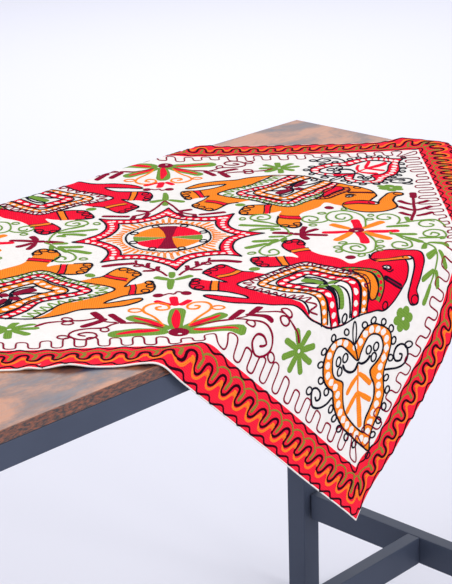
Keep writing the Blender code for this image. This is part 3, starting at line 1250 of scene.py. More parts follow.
@dataclass
class Beast:
    """One elephant of the design, with its saddle cloth, in the yarns of its quarter."""

    needle: Needle
    quarter: Quarter

    def build(self) -> None:
        """Sews the body, the bands and toes, the head and the saddle cloth."""
        sew = self.needle
        outline = curve_through(BEAST, True, 3.0)
        sew.patch(self.quarter.body, outline, [curve_through(SADDLE, True, 3.5), circle(EYE, 3.6, 10)])
        for first, last in ((0, 46), (51, 57), (59, 67), (68, 78)):
            sew.cord(Thread.BLACK, BEAST[first:last], 2.7)
        self.feet()
        self.head()
        self.saddle()

    def feet(self) -> None:
        """Sews the toes and the ankle bands."""
        sew = self.needle
        bands = (
            ((69, 176), (67, 195), (68, 215)),
            ((102, 139), (90, 151), (72, 160)),
            ((153, 90), (157, 110), (160, 131)),
            ((169, 74), (181, 68), (196, 64)),
        )
        toes = (
            ((44, 173), (43, 186), (49, 202)),
            ((77, 119), (67, 130), (59, 143)),
            ((122, 97), (126, 112), (133, 126)),
            ((166, 35), (176, 31), (184, 42)),
        )
        for band in bands:
            sew.cord(self.quarter.trim, band, 8.0, 1)
            for side in (-5.0, 5.0):
                sew.sew(Thread.BLACK, beside(curve_through(band), side), 2.6, 1)
        for foot in toes:
            for toe in foot:
                sew.ring(Thread.BLACK, toe, 5.4, 2.4, 1)

    def head(self) -> None:
        """Sews the tusk, the eye, the brow band, the mouth and the ear."""
        sew = self.needle
        trim = self.quarter.trim
        sew.cord(trim, ((276, 124), (298, 129), (318, 125)), 11.5, 1)
        brow = ((269, 96), (271, 114), (282, 131), (300, 136), (316, 132), (323, 124))
        sew.cord(Thread.BLACK, brow, 2.4, 2)
        sew.cord(Thread.BLACK, ((274, 117), (296, 122), (316, 118)), 2.0, 2)
        sew.ring(Thread.BLACK, EYE, 5.4, 2.8, 1, 0.85, 20)
        sew.patch(Thread.BLACK, circle(EYE, 2.0, 8), (), 0, 2.0)
        sew.cord(Thread.BLACK, ((279, 163), (288, 166), (295, 160)), 2.2, 2)
        sew.cord(Thread.BLACK, ((281, 176), (292, 175), (305, 173), (317, 170)), 7.0, 1)
        sew.cord(Thread.MAROON, ((286, 176), (294, 175), (305, 173), (315, 171)), 2.6, 2)
        sew.ring(Thread.BLACK, (302, 204), 5.0, 2.6, 1)
        sew.ring(Thread.BLACK, (348, 169), 6.5, 2.2, 1)
        ear = (
            (243, 154), (247, 171), (249, 188), (259, 202), (270, 210), (277, 206), (278, 195), (268, 183),
            (260, 171), (252, 157),
        )
        sew.patch(trim, curve_through(ear, True, 2.5), (), 1)
        sew.cord(Thread.BLACK, ear, 2.4, 2, closed=True)
        lobe = ((229, 148), (245, 149), (259, 161), (271, 175), (281, 189), (283, 207))
        path = curve_through(lobe, False, 2.5)
        edge = np.vstack([beside(path, 4.6), beside(path, -4.6)[::-1]])
        sew.patch(self.quarter.bow, edge, pearls(path, 7.6, 2.3), 1, 4.0)
        sew.sew(Thread.BLACK, beside(path, -5.4), 2.0, 2)
        sew.sew(Thread.BLACK, beside(path, 5.2), 2.0, 2)

    def saddle(self) -> None:
        """Sews the nested bands of the saddle cloth and the bow inside them."""
        sew = self.needle
        quarter = self.quarter
        rim = (
            (272, 226), (258, 190), (233, 150), (208, 131), (185, 117), (140, 155), (97, 190), (112, 212),
            (155, 240), (183, 280),
        )
        sew.cord(Thread.BLACK, rim, 2.8)
        ladder = (
            (262, 208), (247, 178), (225, 152), (187, 123), (150, 156), (109, 191), (130, 221), (165, 240),
            (191, 277),
        )
        sew.sew(quarter.ladder, waved(curve_through(ladder), 6.0, 12.0), 2.6, 0)
        trim_band = (
            (271, 231), (246, 193), (238, 176), (212, 158), (186, 136), (158, 160), (128, 192), (150, 212),
            (180, 226), (197, 255), (215, 279),
        )
        body_band = (
            (261, 243), (240, 212), (226, 190), (205, 170), (186, 157), (170, 172), (152, 192), (172, 208),
            (192, 226), (213, 252), (236, 271),
        )
        bands = ((quarter.trim, 10.5, trim_band), (quarter.body, 13.0, body_band))
        for thread, width, line in bands:
            path = curve_through(line, False, 3.0)
            edge = np.vstack([beside(path, width / 2), beside(path, -width / 2)[::-1]])
            sew.patch(thread, edge, pearls(path, width * 0.95, width * 0.27), 0, 5.0)
            for side in (-width / 2 - 0.6, width / 2 + 0.6):
                sew.sew(Thread.BLACK, beside(path, side), 2.4, 1)
        leaves = (
            ((205, 203), (192, 192), (178, 183), 13.0),
            ((212, 214), (220, 232), (231, 248), 9.0),
            ((206, 207), (203, 214), (199, 220), 12.0),
            ((211, 208), (215, 202), (220, 196), 12.0),
        )
        for *leaf, width in leaves:
            sew.cord(quarter.bow, leaf, width, 1, Shape.BUD)
            side = beside(curve_through(leaf), width / 2)
            sew.sew(Thread.BLACK, side, 2.0, 1)
        sprigs = (
            ((178, 172), (197, 180), (207, 194), (208, 215), (214, 238), (226, 253), (240, 262)),
            ((166, 198), (184, 197), (203, 203)),
            ((218, 219), (236, 230), (246, 240), (252, 248)),
            ((205, 198), (206, 222), (216, 244), (234, 260)),
        )
        for sprig in sprigs:
            sew.cord(Thread.BLACK, sprig, 3.2, 1)
        sew.ring(Thread.BLACK, (243, 253), 6.0, 2.6, 1, 0.7, 70)


HEART = (
    (283, 272), (285, 262), (286, 250), (290, 240), (299, 231), (311, 227), (323, 225), (335, 227),
    (344, 236), (348, 246), (351, 257), (354, 268), (359, 277), (367, 285), (376, 294), (380, 304),
    (384, 317), (385, 329), (387, 340), (391, 352), (401, 366), (386, 367), (367, 367), (350, 366),
    (336, 366), (323, 363), (311, 359), (298, 353), (289, 346), (283, 340), (270, 339), (260, 336),
    (250, 328), (244, 319), (241, 308), (242, 296), (246, 287), (254, 279), (264, 274), (274, 272),
)
HEART_CORE = (
    (303, 285), (301, 274), (300, 262), (300, 251), (304, 244), (311, 240), (320, 239), (328, 243),
    (334, 249), (336, 258), (335, 268), (332, 278), (332, 284), (339, 289), (349, 293), (357, 300),
    (363, 310), (365, 323), (366, 334), (369, 342), (376, 351), (370, 353), (355, 353), (340, 352),
    (328, 350), (319, 346), (310, 339), (302, 331), (295, 323), (287, 323), (277, 324), (267, 320),
    (260, 312), (256, 304), (256, 293), (261, 287), (272, 285), (287, 285), (297, 286),
)


@dataclass
class CornerHeart:
    """The heart at a corner: a pearled band round a feather, with loops and curls outside."""

    needle: Needle
    quarter: Quarter

    def build(self) -> None:
        """Sews the band, what it holds and what grows round it."""
        sew = self.needle
        thread = self.quarter.trim
        outer = curve_through(HEART, True, 3.0)
        core = curve_through(HEART_CORE, True, 3.0)
        nearest = [np.argmin(np.hypot(*(core - spot).T)) for spot in outer]
        middle = curve_through((outer + core[nearest])[::3] / 2, True, 2.0)
        sew.patch(thread, outer, [core, *pearls(middle, 12.4, 4.5)], 0, 5.0)
        sew.cord(Thread.BLACK, HEART, 2.8, 1, closed=True)
        sew.cord(Thread.BLACK, HEART_CORE, 2.8, 1, closed=True)
        sew.cord(Thread.BLACK, ((284, 272), (293, 278), (303, 286)), 2.6, 2)
        feather = (
            ((306, 290), (317, 303), (330, 317), 3.2, Shape.CORD),
            ((328, 315), (347, 332), (365, 350), 9.0, Shape.BUD),
            ((314, 298), (328, 296), (346, 296), 8.0, Shape.BUD),
            ((315, 300), (313, 316), (313, 331), 7.0, Shape.BUD),
            ((330, 317), (344, 315), (360, 312), 7.5, Shape.BUD),
            ((329, 317), (329, 334), (328, 350), 7.5, Shape.BUD),
        )
        for *barb, width, shape in feather:
            sew.cord(thread, barb, width, 0, shape)
        sew.cord(Thread.BLACK, ((304, 287), (312, 285), (318, 277), (319, 268)), 3.6, 2)
        sew.cord(Thread.BLACK, ((304, 287), (305, 298), (300, 305), (289, 307), (280, 303)), 3.8, 2)
        for place in ((321, 254), (312, 264), (326, 267), (279, 294), (270, 304), (280, 313)):
            sew.ring(Thread.BLACK, place, 5.8, 2.6, 1, 0.78, 70)
        self.surround()

    def surround(self) -> None:
        """Sews the loops along the outside and the two curls."""
        sew = self.needle
        loops = (
            (314, 221), (333, 222), (347, 232), (294, 229), (284, 242), (259, 266), (242, 283), (235, 305),
            (240, 322), (253, 338), (272, 345), (295, 358), (309, 364), (327, 370), (348, 372), (369, 372),
            (404, 372), (394, 346), (391, 326), (388, 307), (379, 287), (366, 276), (356, 252),
        )
        for number, place in enumerate(loops):
            sew.ring(Thread.BLACK, place, 4.9, 2.6, 1, 0.84, 40 * number)
        sew.ring(Thread.BLACK, (273, 259), 15.0, 2.2, 1, 0.24, 52)
        upper = (
            (355, 270), (366, 263), (376, 256), (383, 248), (385, 239), (381, 231), (373, 226), (363, 228),
            (357, 236), (359, 246), (367, 250), (375, 245), (373, 238), (367, 240),
        )
        lower = (
            (287, 346), (283, 357), (273, 367), (260, 371), (250, 363), (246, 354), (252, 349), (261, 350),
            (266, 357), (262, 362), (256, 359),
        )
        for curl in (upper, lower):
            sew.cord(Thread.BLACK, curl, 3.2, 1, step=2.0)
        sew.ring(Thread.BLACK, (375, 222), 7.0, 2.4, 1, 0.6, -35)
        sew.ring(Thread.BLACK, (241, 358), 5.0, 2.4)


@dataclass
class QuarterSprays:
    """The sprays, twigs, small flowers and dots of a quarter."""

    needle: Needle
    quarter: Quarter

    def build(self) -> None:
        """Sews them all."""
        self.dots()
        self.twigs()
        self.corner_spray()
        self.small_flowers()

    def dots(self) -> None:
        """Sews the lone dots near the feet and the head."""
        sew = self.needle
        sew.patch(Thread.GREEN, circle((121, 137), 7.5, 16), (), 0, 4)
        sew.patch(Thread.MAROON, circle((245, 104), 7.5, 16), (), 0, 4)

    def twigs(self) -> None:
        """Sews the maroon twigs between the star and the hind feet."""
        if self.needle.flip_y < 0:
            sew = replace(self.needle, pulls=(), inward=0.0)
            stem = ((0, 165), (11, 137), (20, 113), (32, 100), (46, 92))
            leaves = (
                ((48, 91), (68, 95), (88, 99), 8.0),
                ((42, 93), (44, 84), (46, 75), 7.5),
                ((21, 108), (25, 95), (29, 82), 7.5),
                ((19, 111), (29, 116), (40, 119), 8.0),
            )
        else:
            sew = self.needle
            stem = ((22, 152), (30, 135), (45, 117), (60, 101), (62, 86))
            leaves = (
                ((62, 98), (84, 99), (105, 105), 8.0),
                ((45, 116), (46, 106), (45, 96), 6.5),
                ((32, 130), (33, 121), (31, 112), 6.5),
                ((36, 130), (44, 130), (53, 129), 6.0),
            )
            sew.ring(Thread.MAROON, (58, 107), 6.5, 2.4, 1, 0.6, 10)
        sew.cord(Thread.MAROON, stem, 3.8)
        for *leaf, width in leaves:
            sew.cord(Thread.MAROON, leaf, width, 0)

    def corner_spray(self) -> None:
        """Sews the long leafy spray between the trunk and the border, where nothing is pulled."""
        sew = replace(self.needle, pulls=())
        if self.quarter.spray is Thread.GREEN:
            sew.cord(Thread.GREEN, ((357, 98), (361, 112), (364, 138), (366, 165)), 3.0)
            leaves = (
                ((357, 96), (350, 106), (343, 116)),
                ((360, 94), (371, 100), (383, 107)),
                ((361, 120), (353, 132), (345, 144)),
                ((364, 118), (373, 127), (381, 137)),
                ((364, 138), (366, 154), (367, 169)),
            )
        else:
            sew.cord(Thread.MAROON, ((358, 166), (357, 152), (355, 138)), 11.0)
            sew.cord(Thread.MAROON, ((355, 140), (353, 112), (350, 73), (340, 34)), 5.0)
            leaves = (
                ((351, 108), (341, 118), (332, 130)),
                ((355, 112), (366, 117), (377, 126)),
                ((350, 79), (340, 90), (330, 103)),
                ((352, 79), (365, 87), (378, 97)),
                ((347, 54), (338, 63), (329, 75)),
                ((350, 54), (363, 61), (376, 70)),
            )
        for leaf in leaves:
            sew.cord(self.quarter.spray, leaf, 8.0, 0, Shape.BUD)

    def small_flowers(self) -> None:
        """Sews the clover and the eight-petalled green flower."""
        sew = self.needle
        for k in range(6):
            angle = math.radians(60 * k + 20)
            centre = (345 + 11.5 * math.cos(angle), 201 + 11.5 * math.sin(angle))
            sew.patch(Thread.GREEN, circle(centre, 7.0, 14), (), 0, 4)
        sew.patch(Thread.GREEN, circle((345, 201), 8.0, 14), [circle((345, 201), 2.0, 8)], 0, 4)
        for k in range(8):
            angle = math.radians(45 * k + 3)
            run = (math.cos(angle), math.sin(angle))
            petal = [(194 + run[0] * r, 325 + run[1] * r) for r in (2, 16, 30)]
            sew.cord(Thread.GREEN, petal, 9.0, 0, Shape.BUD)


@dataclass(frozen=True)
class Scroll:
    """Green lines, leaves and loops beside the flower on the long axis."""

    lines: tuple[Points, ...]
    leaves: tuple[tuple[Points, float], ...]
    loops: Points


LOWER_SCROLL = Scroll(
    (
        (
            (273, 13), (279, 32), (281, 53), (278, 81), (271, 93), (259, 98), (244, 93), (235, 79), (238, 64),
            (250, 58), (263, 64), (266, 79), (259, 89), (248, 85), (247, 72), (256, 68), (260, 76),
        ),
        (
            (313, 26), (322, 43), (330, 55), (328, 74), (318, 82), (305, 79), (302, 64), (311, 55), (322, 60),
            (322, 71), (314, 70),
        ),
        ((376, 47), (379, 30), (375, 13), (362, 9), (350, 19), (351, 34), (364, 38), (370, 28), (362, 21),
         (358, 30)),
        ((304, 12), (313, 26), (332, 43), (347, 64), (354, 85), (357, 98)),
        ((174, 11), (164, 21), (153, 38), (140, 51), (130, 64), (127, 79), (134, 92), (149, 91), (153, 79),
         (147, 70), (140, 76), (141, 84)),
    ),
    (
        (((304, 20), (322, 24), (341, 25)), 8.0),
        (((340, 41), (358, 42), (376, 45)), 6.0),
        (((324, 36), (335, 47), (345, 60)), 9.0),
        (((351, 62), (363, 72), (376, 81)), 9.0),
        (((348, 66), (344, 82), (341, 96)), 8.0),
        (((371, 38), (372, 48), (371, 56)), 8.0),
        (((164, 17), (152, 17), (141, 16)), 7.0),
        (((155, 29), (138, 33), (119, 34)), 9.5),
        (((141, 43), (124, 53), (107, 62)), 9.5),
        (((153, 30), (145, 43), (138, 55)), 7.0),
        (((164, 22), (162, 32), (160, 42)), 7.0),
    ),
    ((239, 53), (230, 70), (231, 86), (287, 51), (286, 72), (284, 86), (259, 104), (117, 83)),
)
UPPER_SCROLL = Scroll(
    (
        (
            (276, 10), (278, 42), (273, 65), (263, 80), (248, 87), (233, 82), (226, 65), (227, 49), (237, 40),
            (252, 42), (260, 54), (256, 69), (246, 73), (239, 65), (240, 52), (248, 49), (251, 58),
        ),
        ((226, 47), (218, 41), (203, 39), (193, 47), (194, 60), (203, 65), (213, 58), (211, 47), (203, 46),
         (201, 53)),
        ((319, 18), (324, 35), (325, 50), (318, 63), (305, 66), (295, 57), (296, 44), (307, 40), (313, 48),
         (308, 53)),
        ((319, 20), (343, 31), (360, 36), (373, 35), (380, 21), (383, 2)),
        ((372, 28), (362, 33), (351, 27), (348, 14), (354, 5), (364, 6), (368, 14), (362, 19)),
        ((170, -8), (168, 8), (160, 27), (143, 44), (121, 62), (122, 76), (135, 83), (147, 76), (148, 63),
         (138, 57), (130, 63), (133, 72), (140, 69)),
    ),
    (
        (((303, 9), (318, 10), (335, 10)), 8.5),
        (((335, 26), (336, 40), (336, 52)), 7.0),
        (((158, 25), (132, 31), (103, 41)), 8.0),
        (((152, 18), (134, 18), (117, 13)), 8.0),
        (((160, 12), (152, 13), (146, 9)), 7.0),
        (((143, 43), (133, 50), (123, 57)), 6.0),
    ),
    ((221, 78), (253, 95), (286, 63), (284, 44), (205, 29), (108, 66)),
)


@dataclass
class SideScroll:
    """Sews one scroll, `shift` millimetres further out."""

    needle: Needle
    scroll: Scroll
    shift: float = 0.0

    def moved(self, points: Points) -> list[tuple[float, float]]:
        """The points at the scroll's own place."""
        return [(x + self.shift, y) for x, y in points]

    def build(self) -> None:
        """Sews its lines, leaves and loops."""
        for line in self.scroll.lines:
            self.needle.cord(Thread.GREEN, self.moved(line), 2.9, 1, step=2.0)
        for leaf, width in self.scroll.leaves:
            self.needle.cord(Thread.GREEN, self.moved(leaf), width, 0, Shape.BUD)
        for number, loop in enumerate(self.moved(self.scroll.loops)):
            self.needle.ring(Thread.GREEN, loop, 5.2, 2.3, 1, 0.8, 50 * number)


@dataclass
class Star:
    """The eight-pointed star in the middle, with its wheel."""

    needle: Needle
    centre: tuple[float, float] = (7.0, 5.0)
    tips: Points = (
        (137.5, 0.5), (104.0, 94.0), (19.0, 142.0), (-80.0, 101.0), (-123.0, 13.0), (-92.0, -87.0),
        (4.0, -129.0), (98.0, -89.0),
    )

    def arcs(self, share: float, bow: float, step: float = 3.0) -> np.ndarray:
        """A star outline whose sides bow inwards.

        Args:
            share: how far out its tips lie, with 1 for the star's own tips.
            bow: the distance of the points that pull its sides in.
            step: the sampling distance.

        Returns:
            Its samples, with sharp tips.
        """
        centre = np.array(self.centre)
        reach = (np.array(self.tips) - centre) * share
        parts = []
        for start, end in zip(reach, np.roll(reach, -1, axis=0)):
            pull = start / np.hypot(*start) + end / np.hypot(*end)
            pull = pull / np.hypot(*pull) * bow
            t = np.linspace(0.0, 1.0, 40)[:, None]
            path = (1 - t) ** 2 * start + 2 * t * (1 - t) * pull + t**2 * end
            parts.append(even(path, step)[:-1])
        return np.vstack(parts) + centre

    def build(self) -> None:
        """Sews the band, the rays and the wheel."""
        sew = self.needle
        outer = self.arcs(1.0, 66.0)
        inner = self.arcs(0.72, 67.0)
        middle = self.arcs(0.86, 66.5)
        loop = np.vstack([middle, middle[:1]])
        sew.patch(Thread.RED, outer, [inner, *pearls(loop, 10.2, 3.3)], 0, 5.0)
        for rim in (outer, inner):
            closed = np.vstack([rim, rim[:1]])
            sew.sew(Thread.BLACK, even(closed, 2.5, True), 2.9, 1, closed=True)
        self.rays(inner)
        self.wheel()

    def rays(self, inner: np.ndarray) -> None:
        """Sews the orange zigzag between the wheel and the band."""
        middle = np.array(self.centre)
        angles = np.arctan2(inner[:, 1] - middle[1], inner[:, 0] - middle[0])
        order = np.argsort(angles)
        reach = np.hypot(*(inner - middle).T)[order]
        count = 52
        points = []
        for k in range(count):
            angle = -math.pi + 2 * math.pi * k / count
            edge = float(np.interp(angle, angles[order], reach, period=2 * math.pi)) - 4.0
            for far, lean in ((63.0, 0.0), (edge - 3.0, 0.01), (edge - 3.0, 0.035), (63.0, 0.046)):
                turned = angle + lean
                points.append((middle[0] + far * math.cos(turned), middle[1] + far * math.sin(turned)))
        self.needle.cord(Thread.ORANGE, points, 2.1, 0, closed=True, step=2.0)

    def wheel(self) -> None:
        """Sews the black ring, its loops and the coloured wedges."""
        sew = self.needle
        x, y = self.centre
        sew.sew(Thread.BLACK, circle((x + 1, y), 57.5, 130), 3.0, 1, closed=True)
        for k in range(8):
            angle = math.radians(45 * k + 24)
            sew.ring(Thread.BLACK, (x + 1 + 50.5 * math.cos(angle), y + 50.5 * math.sin(angle)), 5.0, 2.0)
        wedges = (
            (Thread.GREEN, -10, 19), (Thread.ORANGE, 19, 74), (Thread.RED, 106, 161),
            (Thread.GREEN, 161, 188), (Thread.ORANGE, 188, 254), (Thread.RED, 286, 350),
        )
        for thread, start, end in wedges:
            angles = np.radians(np.linspace(start + 0.5, end - 0.5, 14))
            arc = np.column_stack([x + 47 * np.cos(angles), y + 47 * np.sin(angles)])
            near = np.radians([end, start])
            root = np.column_stack([x + 3 * np.cos(near), y + 3 * np.sin(near)])
            rim = even(np.vstack([arc, root, arc[:1]]), 3.0, True)
            sew.patch(thread, rim, (), 0, 4.0)
        glass = (
            (x - 14, y - 46), (x, y - 48), (x + 14, y - 46), (x + 9, y - 26), (x + 4.5, y), (x + 9, y + 26),
            (x + 14, y + 46), (x, y + 48), (x - 14, y + 46), (x - 9, y + 26), (x - 4.5, y), (x - 9, y - 26),
        )
        rim = even(np.array([*glass, glass[0]]), 3.0, True)
        sew.patch(Thread.MAROON, rim, (), 1, 4.0)


@dataclass
class LongAxisFlower:
    """The red and orange flower and the maroon tulip beside the star. A turned tulip hangs the other way."""

    needle: Needle
    shift: float = 0.0
    turned: bool = False

    def build(self) -> None:
        """Sews the petals, the eye and the tulip."""
        sew = self.needle
        red, orange, maroon = Thread.RED, Thread.ORANGE, Thread.MAROON
        strokes = (
            (red, ((272, 7), (296, 9), (319, 10)), 11.5, Shape.BUD),
            (red, ((255, 3), (234, 6), (213, 6)), 11.0, Shape.BUD),
            (red, ((266, -5), (265, -26), (263, -48)), 13.0, Shape.CORD),
            (red, ((266, 8), (268, 34), (267, 59)), 13.0, Shape.CORD),
            (orange, ((271, -5), (287, -19), (303, -33)), 12.0, Shape.BUD),
            (orange, ((256, -7), (242, -19), (228, -32)), 12.0, Shape.BUD),
            (orange, ((257, 7), (243, 25), (230, 43)), 12.5, Shape.BUD),
            (orange, ((270, 7), (288, 26), (305, 44)), 13.5, Shape.BUD),
            (maroon, ((147, 0), (160, 3), (176, 8)), 9.5, Shape.CORD),
            (maroon, ((174, 8), (195, 13), (222, 19)), 8.5, Shape.CORD),
            (maroon, ((186, 9), (188, -8), (194, -24)), 8.5, Shape.BUD),
            (maroon, ((189, 6), (199, -4), (211, -12)), 8.5, Shape.BUD),
            (maroon, ((185, 12), (189, 22), (195, 34)), 10.0, Shape.BUD),
        )
        for thread, line, width, shape in strokes:
            turned = self.turned and thread is maroon
            sew.cord(thread, [(x + self.shift, 14 - y if turned else y) for x, y in line], width, 0, shape)
        eye = circle((263 + self.shift, 0), 11, 18)
        sew.patch(maroon, eye, [circle((263 + self.shift, 3), 2.4, 8)], 1, 4)


@dataclass
class Palmette:
    """The fan of petals in the middle of the upper or the lower side."""

    needle: Needle
    x: float = 22.0
    lift: float = 0.0
    sprig: float = -8.0

    def on(self, points: Points, side: int = 1) -> list[tuple[float, float]]:
        """Puts points given from the fan's axis on one side of it."""
        return [(self.x + side * px, py - self.lift) for px, py in points]

    def build(self) -> None:
        """Sews the base, the petals, the trefoil, the scrolls and the vines."""
        sew = self.needle
        petals = (
            (((0, 350), (-1, 310), (-1, 274)), 21.0, ((0, 346), (-1, 308), (-3, 280)), 12.0, (1,)),
            (((7, 346), (34, 320), (59, 297)), 18.5, ((14, 338), (34, 319), (53, 302)), 8.5, (1, -1)),
            (((8, 353), (48, 351), (81, 355)), 24.0, ((16, 348), (46, 350), (72, 356)), 10.5, (1, -1)),
        )
        for line, width, core, core_width, sides in petals:
            for side in sides:
                sew.cord(Thread.GREEN, self.on(line, side), width, 0, Shape.BUD)
                sew.cord(Thread.RED, self.on(core, side), core_width, 1, Shape.LEAF)
        middle, dot = self.on([(3, 355), (4, 360)])
        sew.patch(Thread.MAROON, circle(middle, 12.5, 20), [circle(dot, 2.4, 8)], 1, 4)
        for side in (-1, 1):
            self.half(side)
        sew.cord(Thread.RED, self.on(((-3, 268), (-4, 252), (-5, 236))), 10.8, 0)
        sew.cord(Thread.RED, self.on(((2, 266), (9, 258), (16, 248))), 9.0, 0)
        sew.cord(Thread.RED, self.on(((-8, 266), (-18, 258), (-28, 248))), 9.0, 0)
        for spot in self.on(((-23, 230), (11, 226))):
            sew.patch(Thread.MAROON, circle(spot, 7.2, 14), (), 0, 4)
        sew.cord(Thread.MAROON, self.on(((-17, 231), (-10, 226), (-4, 229), (0, 221), (7, 224))), 2.6)
        leaves = (
            ((0, 210), (0, 190), (-1, 172)),
            ((-2, 176), (-14, 170), (-23, 165)),
            ((3, 176), (16, 168), (27, 161)),
            ((-1, 170), (-1, 158), (-1, 147)),
        )
        for leaf in leaves:
            sew.cord(Thread.GREEN, self.on([(x + self.sprig, y) for x, y in leaf]), 9.4, 0, Shape.BUD)

    def half(self, side: int) -> None:
        """Sews what the fan has on one side."""
        sew = self.needle
        scroll = (
            (14, 338), (26, 307), (39, 286), (41, 271), (34, 260), (21, 258), (12, 268), (13, 279),
            (23, 281), (27, 272), (20, 269),
        )
        sew.cord(Thread.ORANGE, self.on(scroll, side), 3.6, 1, step=2.0)
        sew.ring(Thread.ORANGE, self.on([(50, 279)], side)[0], 7.6, 2.6, 1, 0.8)
        sew.cord(Thread.MAROON, self.on(((14, 342), (44, 323), (67, 318)), side), 4.0, 1)
        leaves = (
            ((62, 318), (72, 302), (80, 288), 9.0),
            ((88, 305), (94, 292), (101, 279), 10.0),
            ((83, 302), (93, 313), (114, 327), 9.0),
        )
        for *leaf, width in leaves:
            sew.cord(Thread.MAROON, self.on(leaf, side), width, 0)
        lines = (
            (((95, 301), (112, 307), (128, 307)), 2.8, Shape.CORD),
            (((166, 323), (153, 313), (130, 309)), 5.0, Shape.TAIL),
            (((70, 316), (80, 314), (90, 308)), 2.6, Shape.CORD),
        )
        for line, width, shape in lines:
            sew.cord(Thread.MAROON, self.on(line, side), width, 1, shape)
        spiral = (
            (68, 317), (76, 322), (86, 332), (104, 333), (119, 339), (125, 352), (117, 365), (104, 369),
            (93, 361), (95, 350), (105, 346), (114, 350), (112, 354), (105, 358),
        )
        sew.cord(Thread.MAROON, self.on(spiral, side), 3.0, 1, step=2.0)
        for spot, turn in (((130, 303), 20), ((129, 315), 160), ((85, 338), 80), ((131, 359), 20)):
            sew.ring(Thread.MAROON, self.on([spot], side)[0], 7.0, 2.4, 1, 0.72, turn)


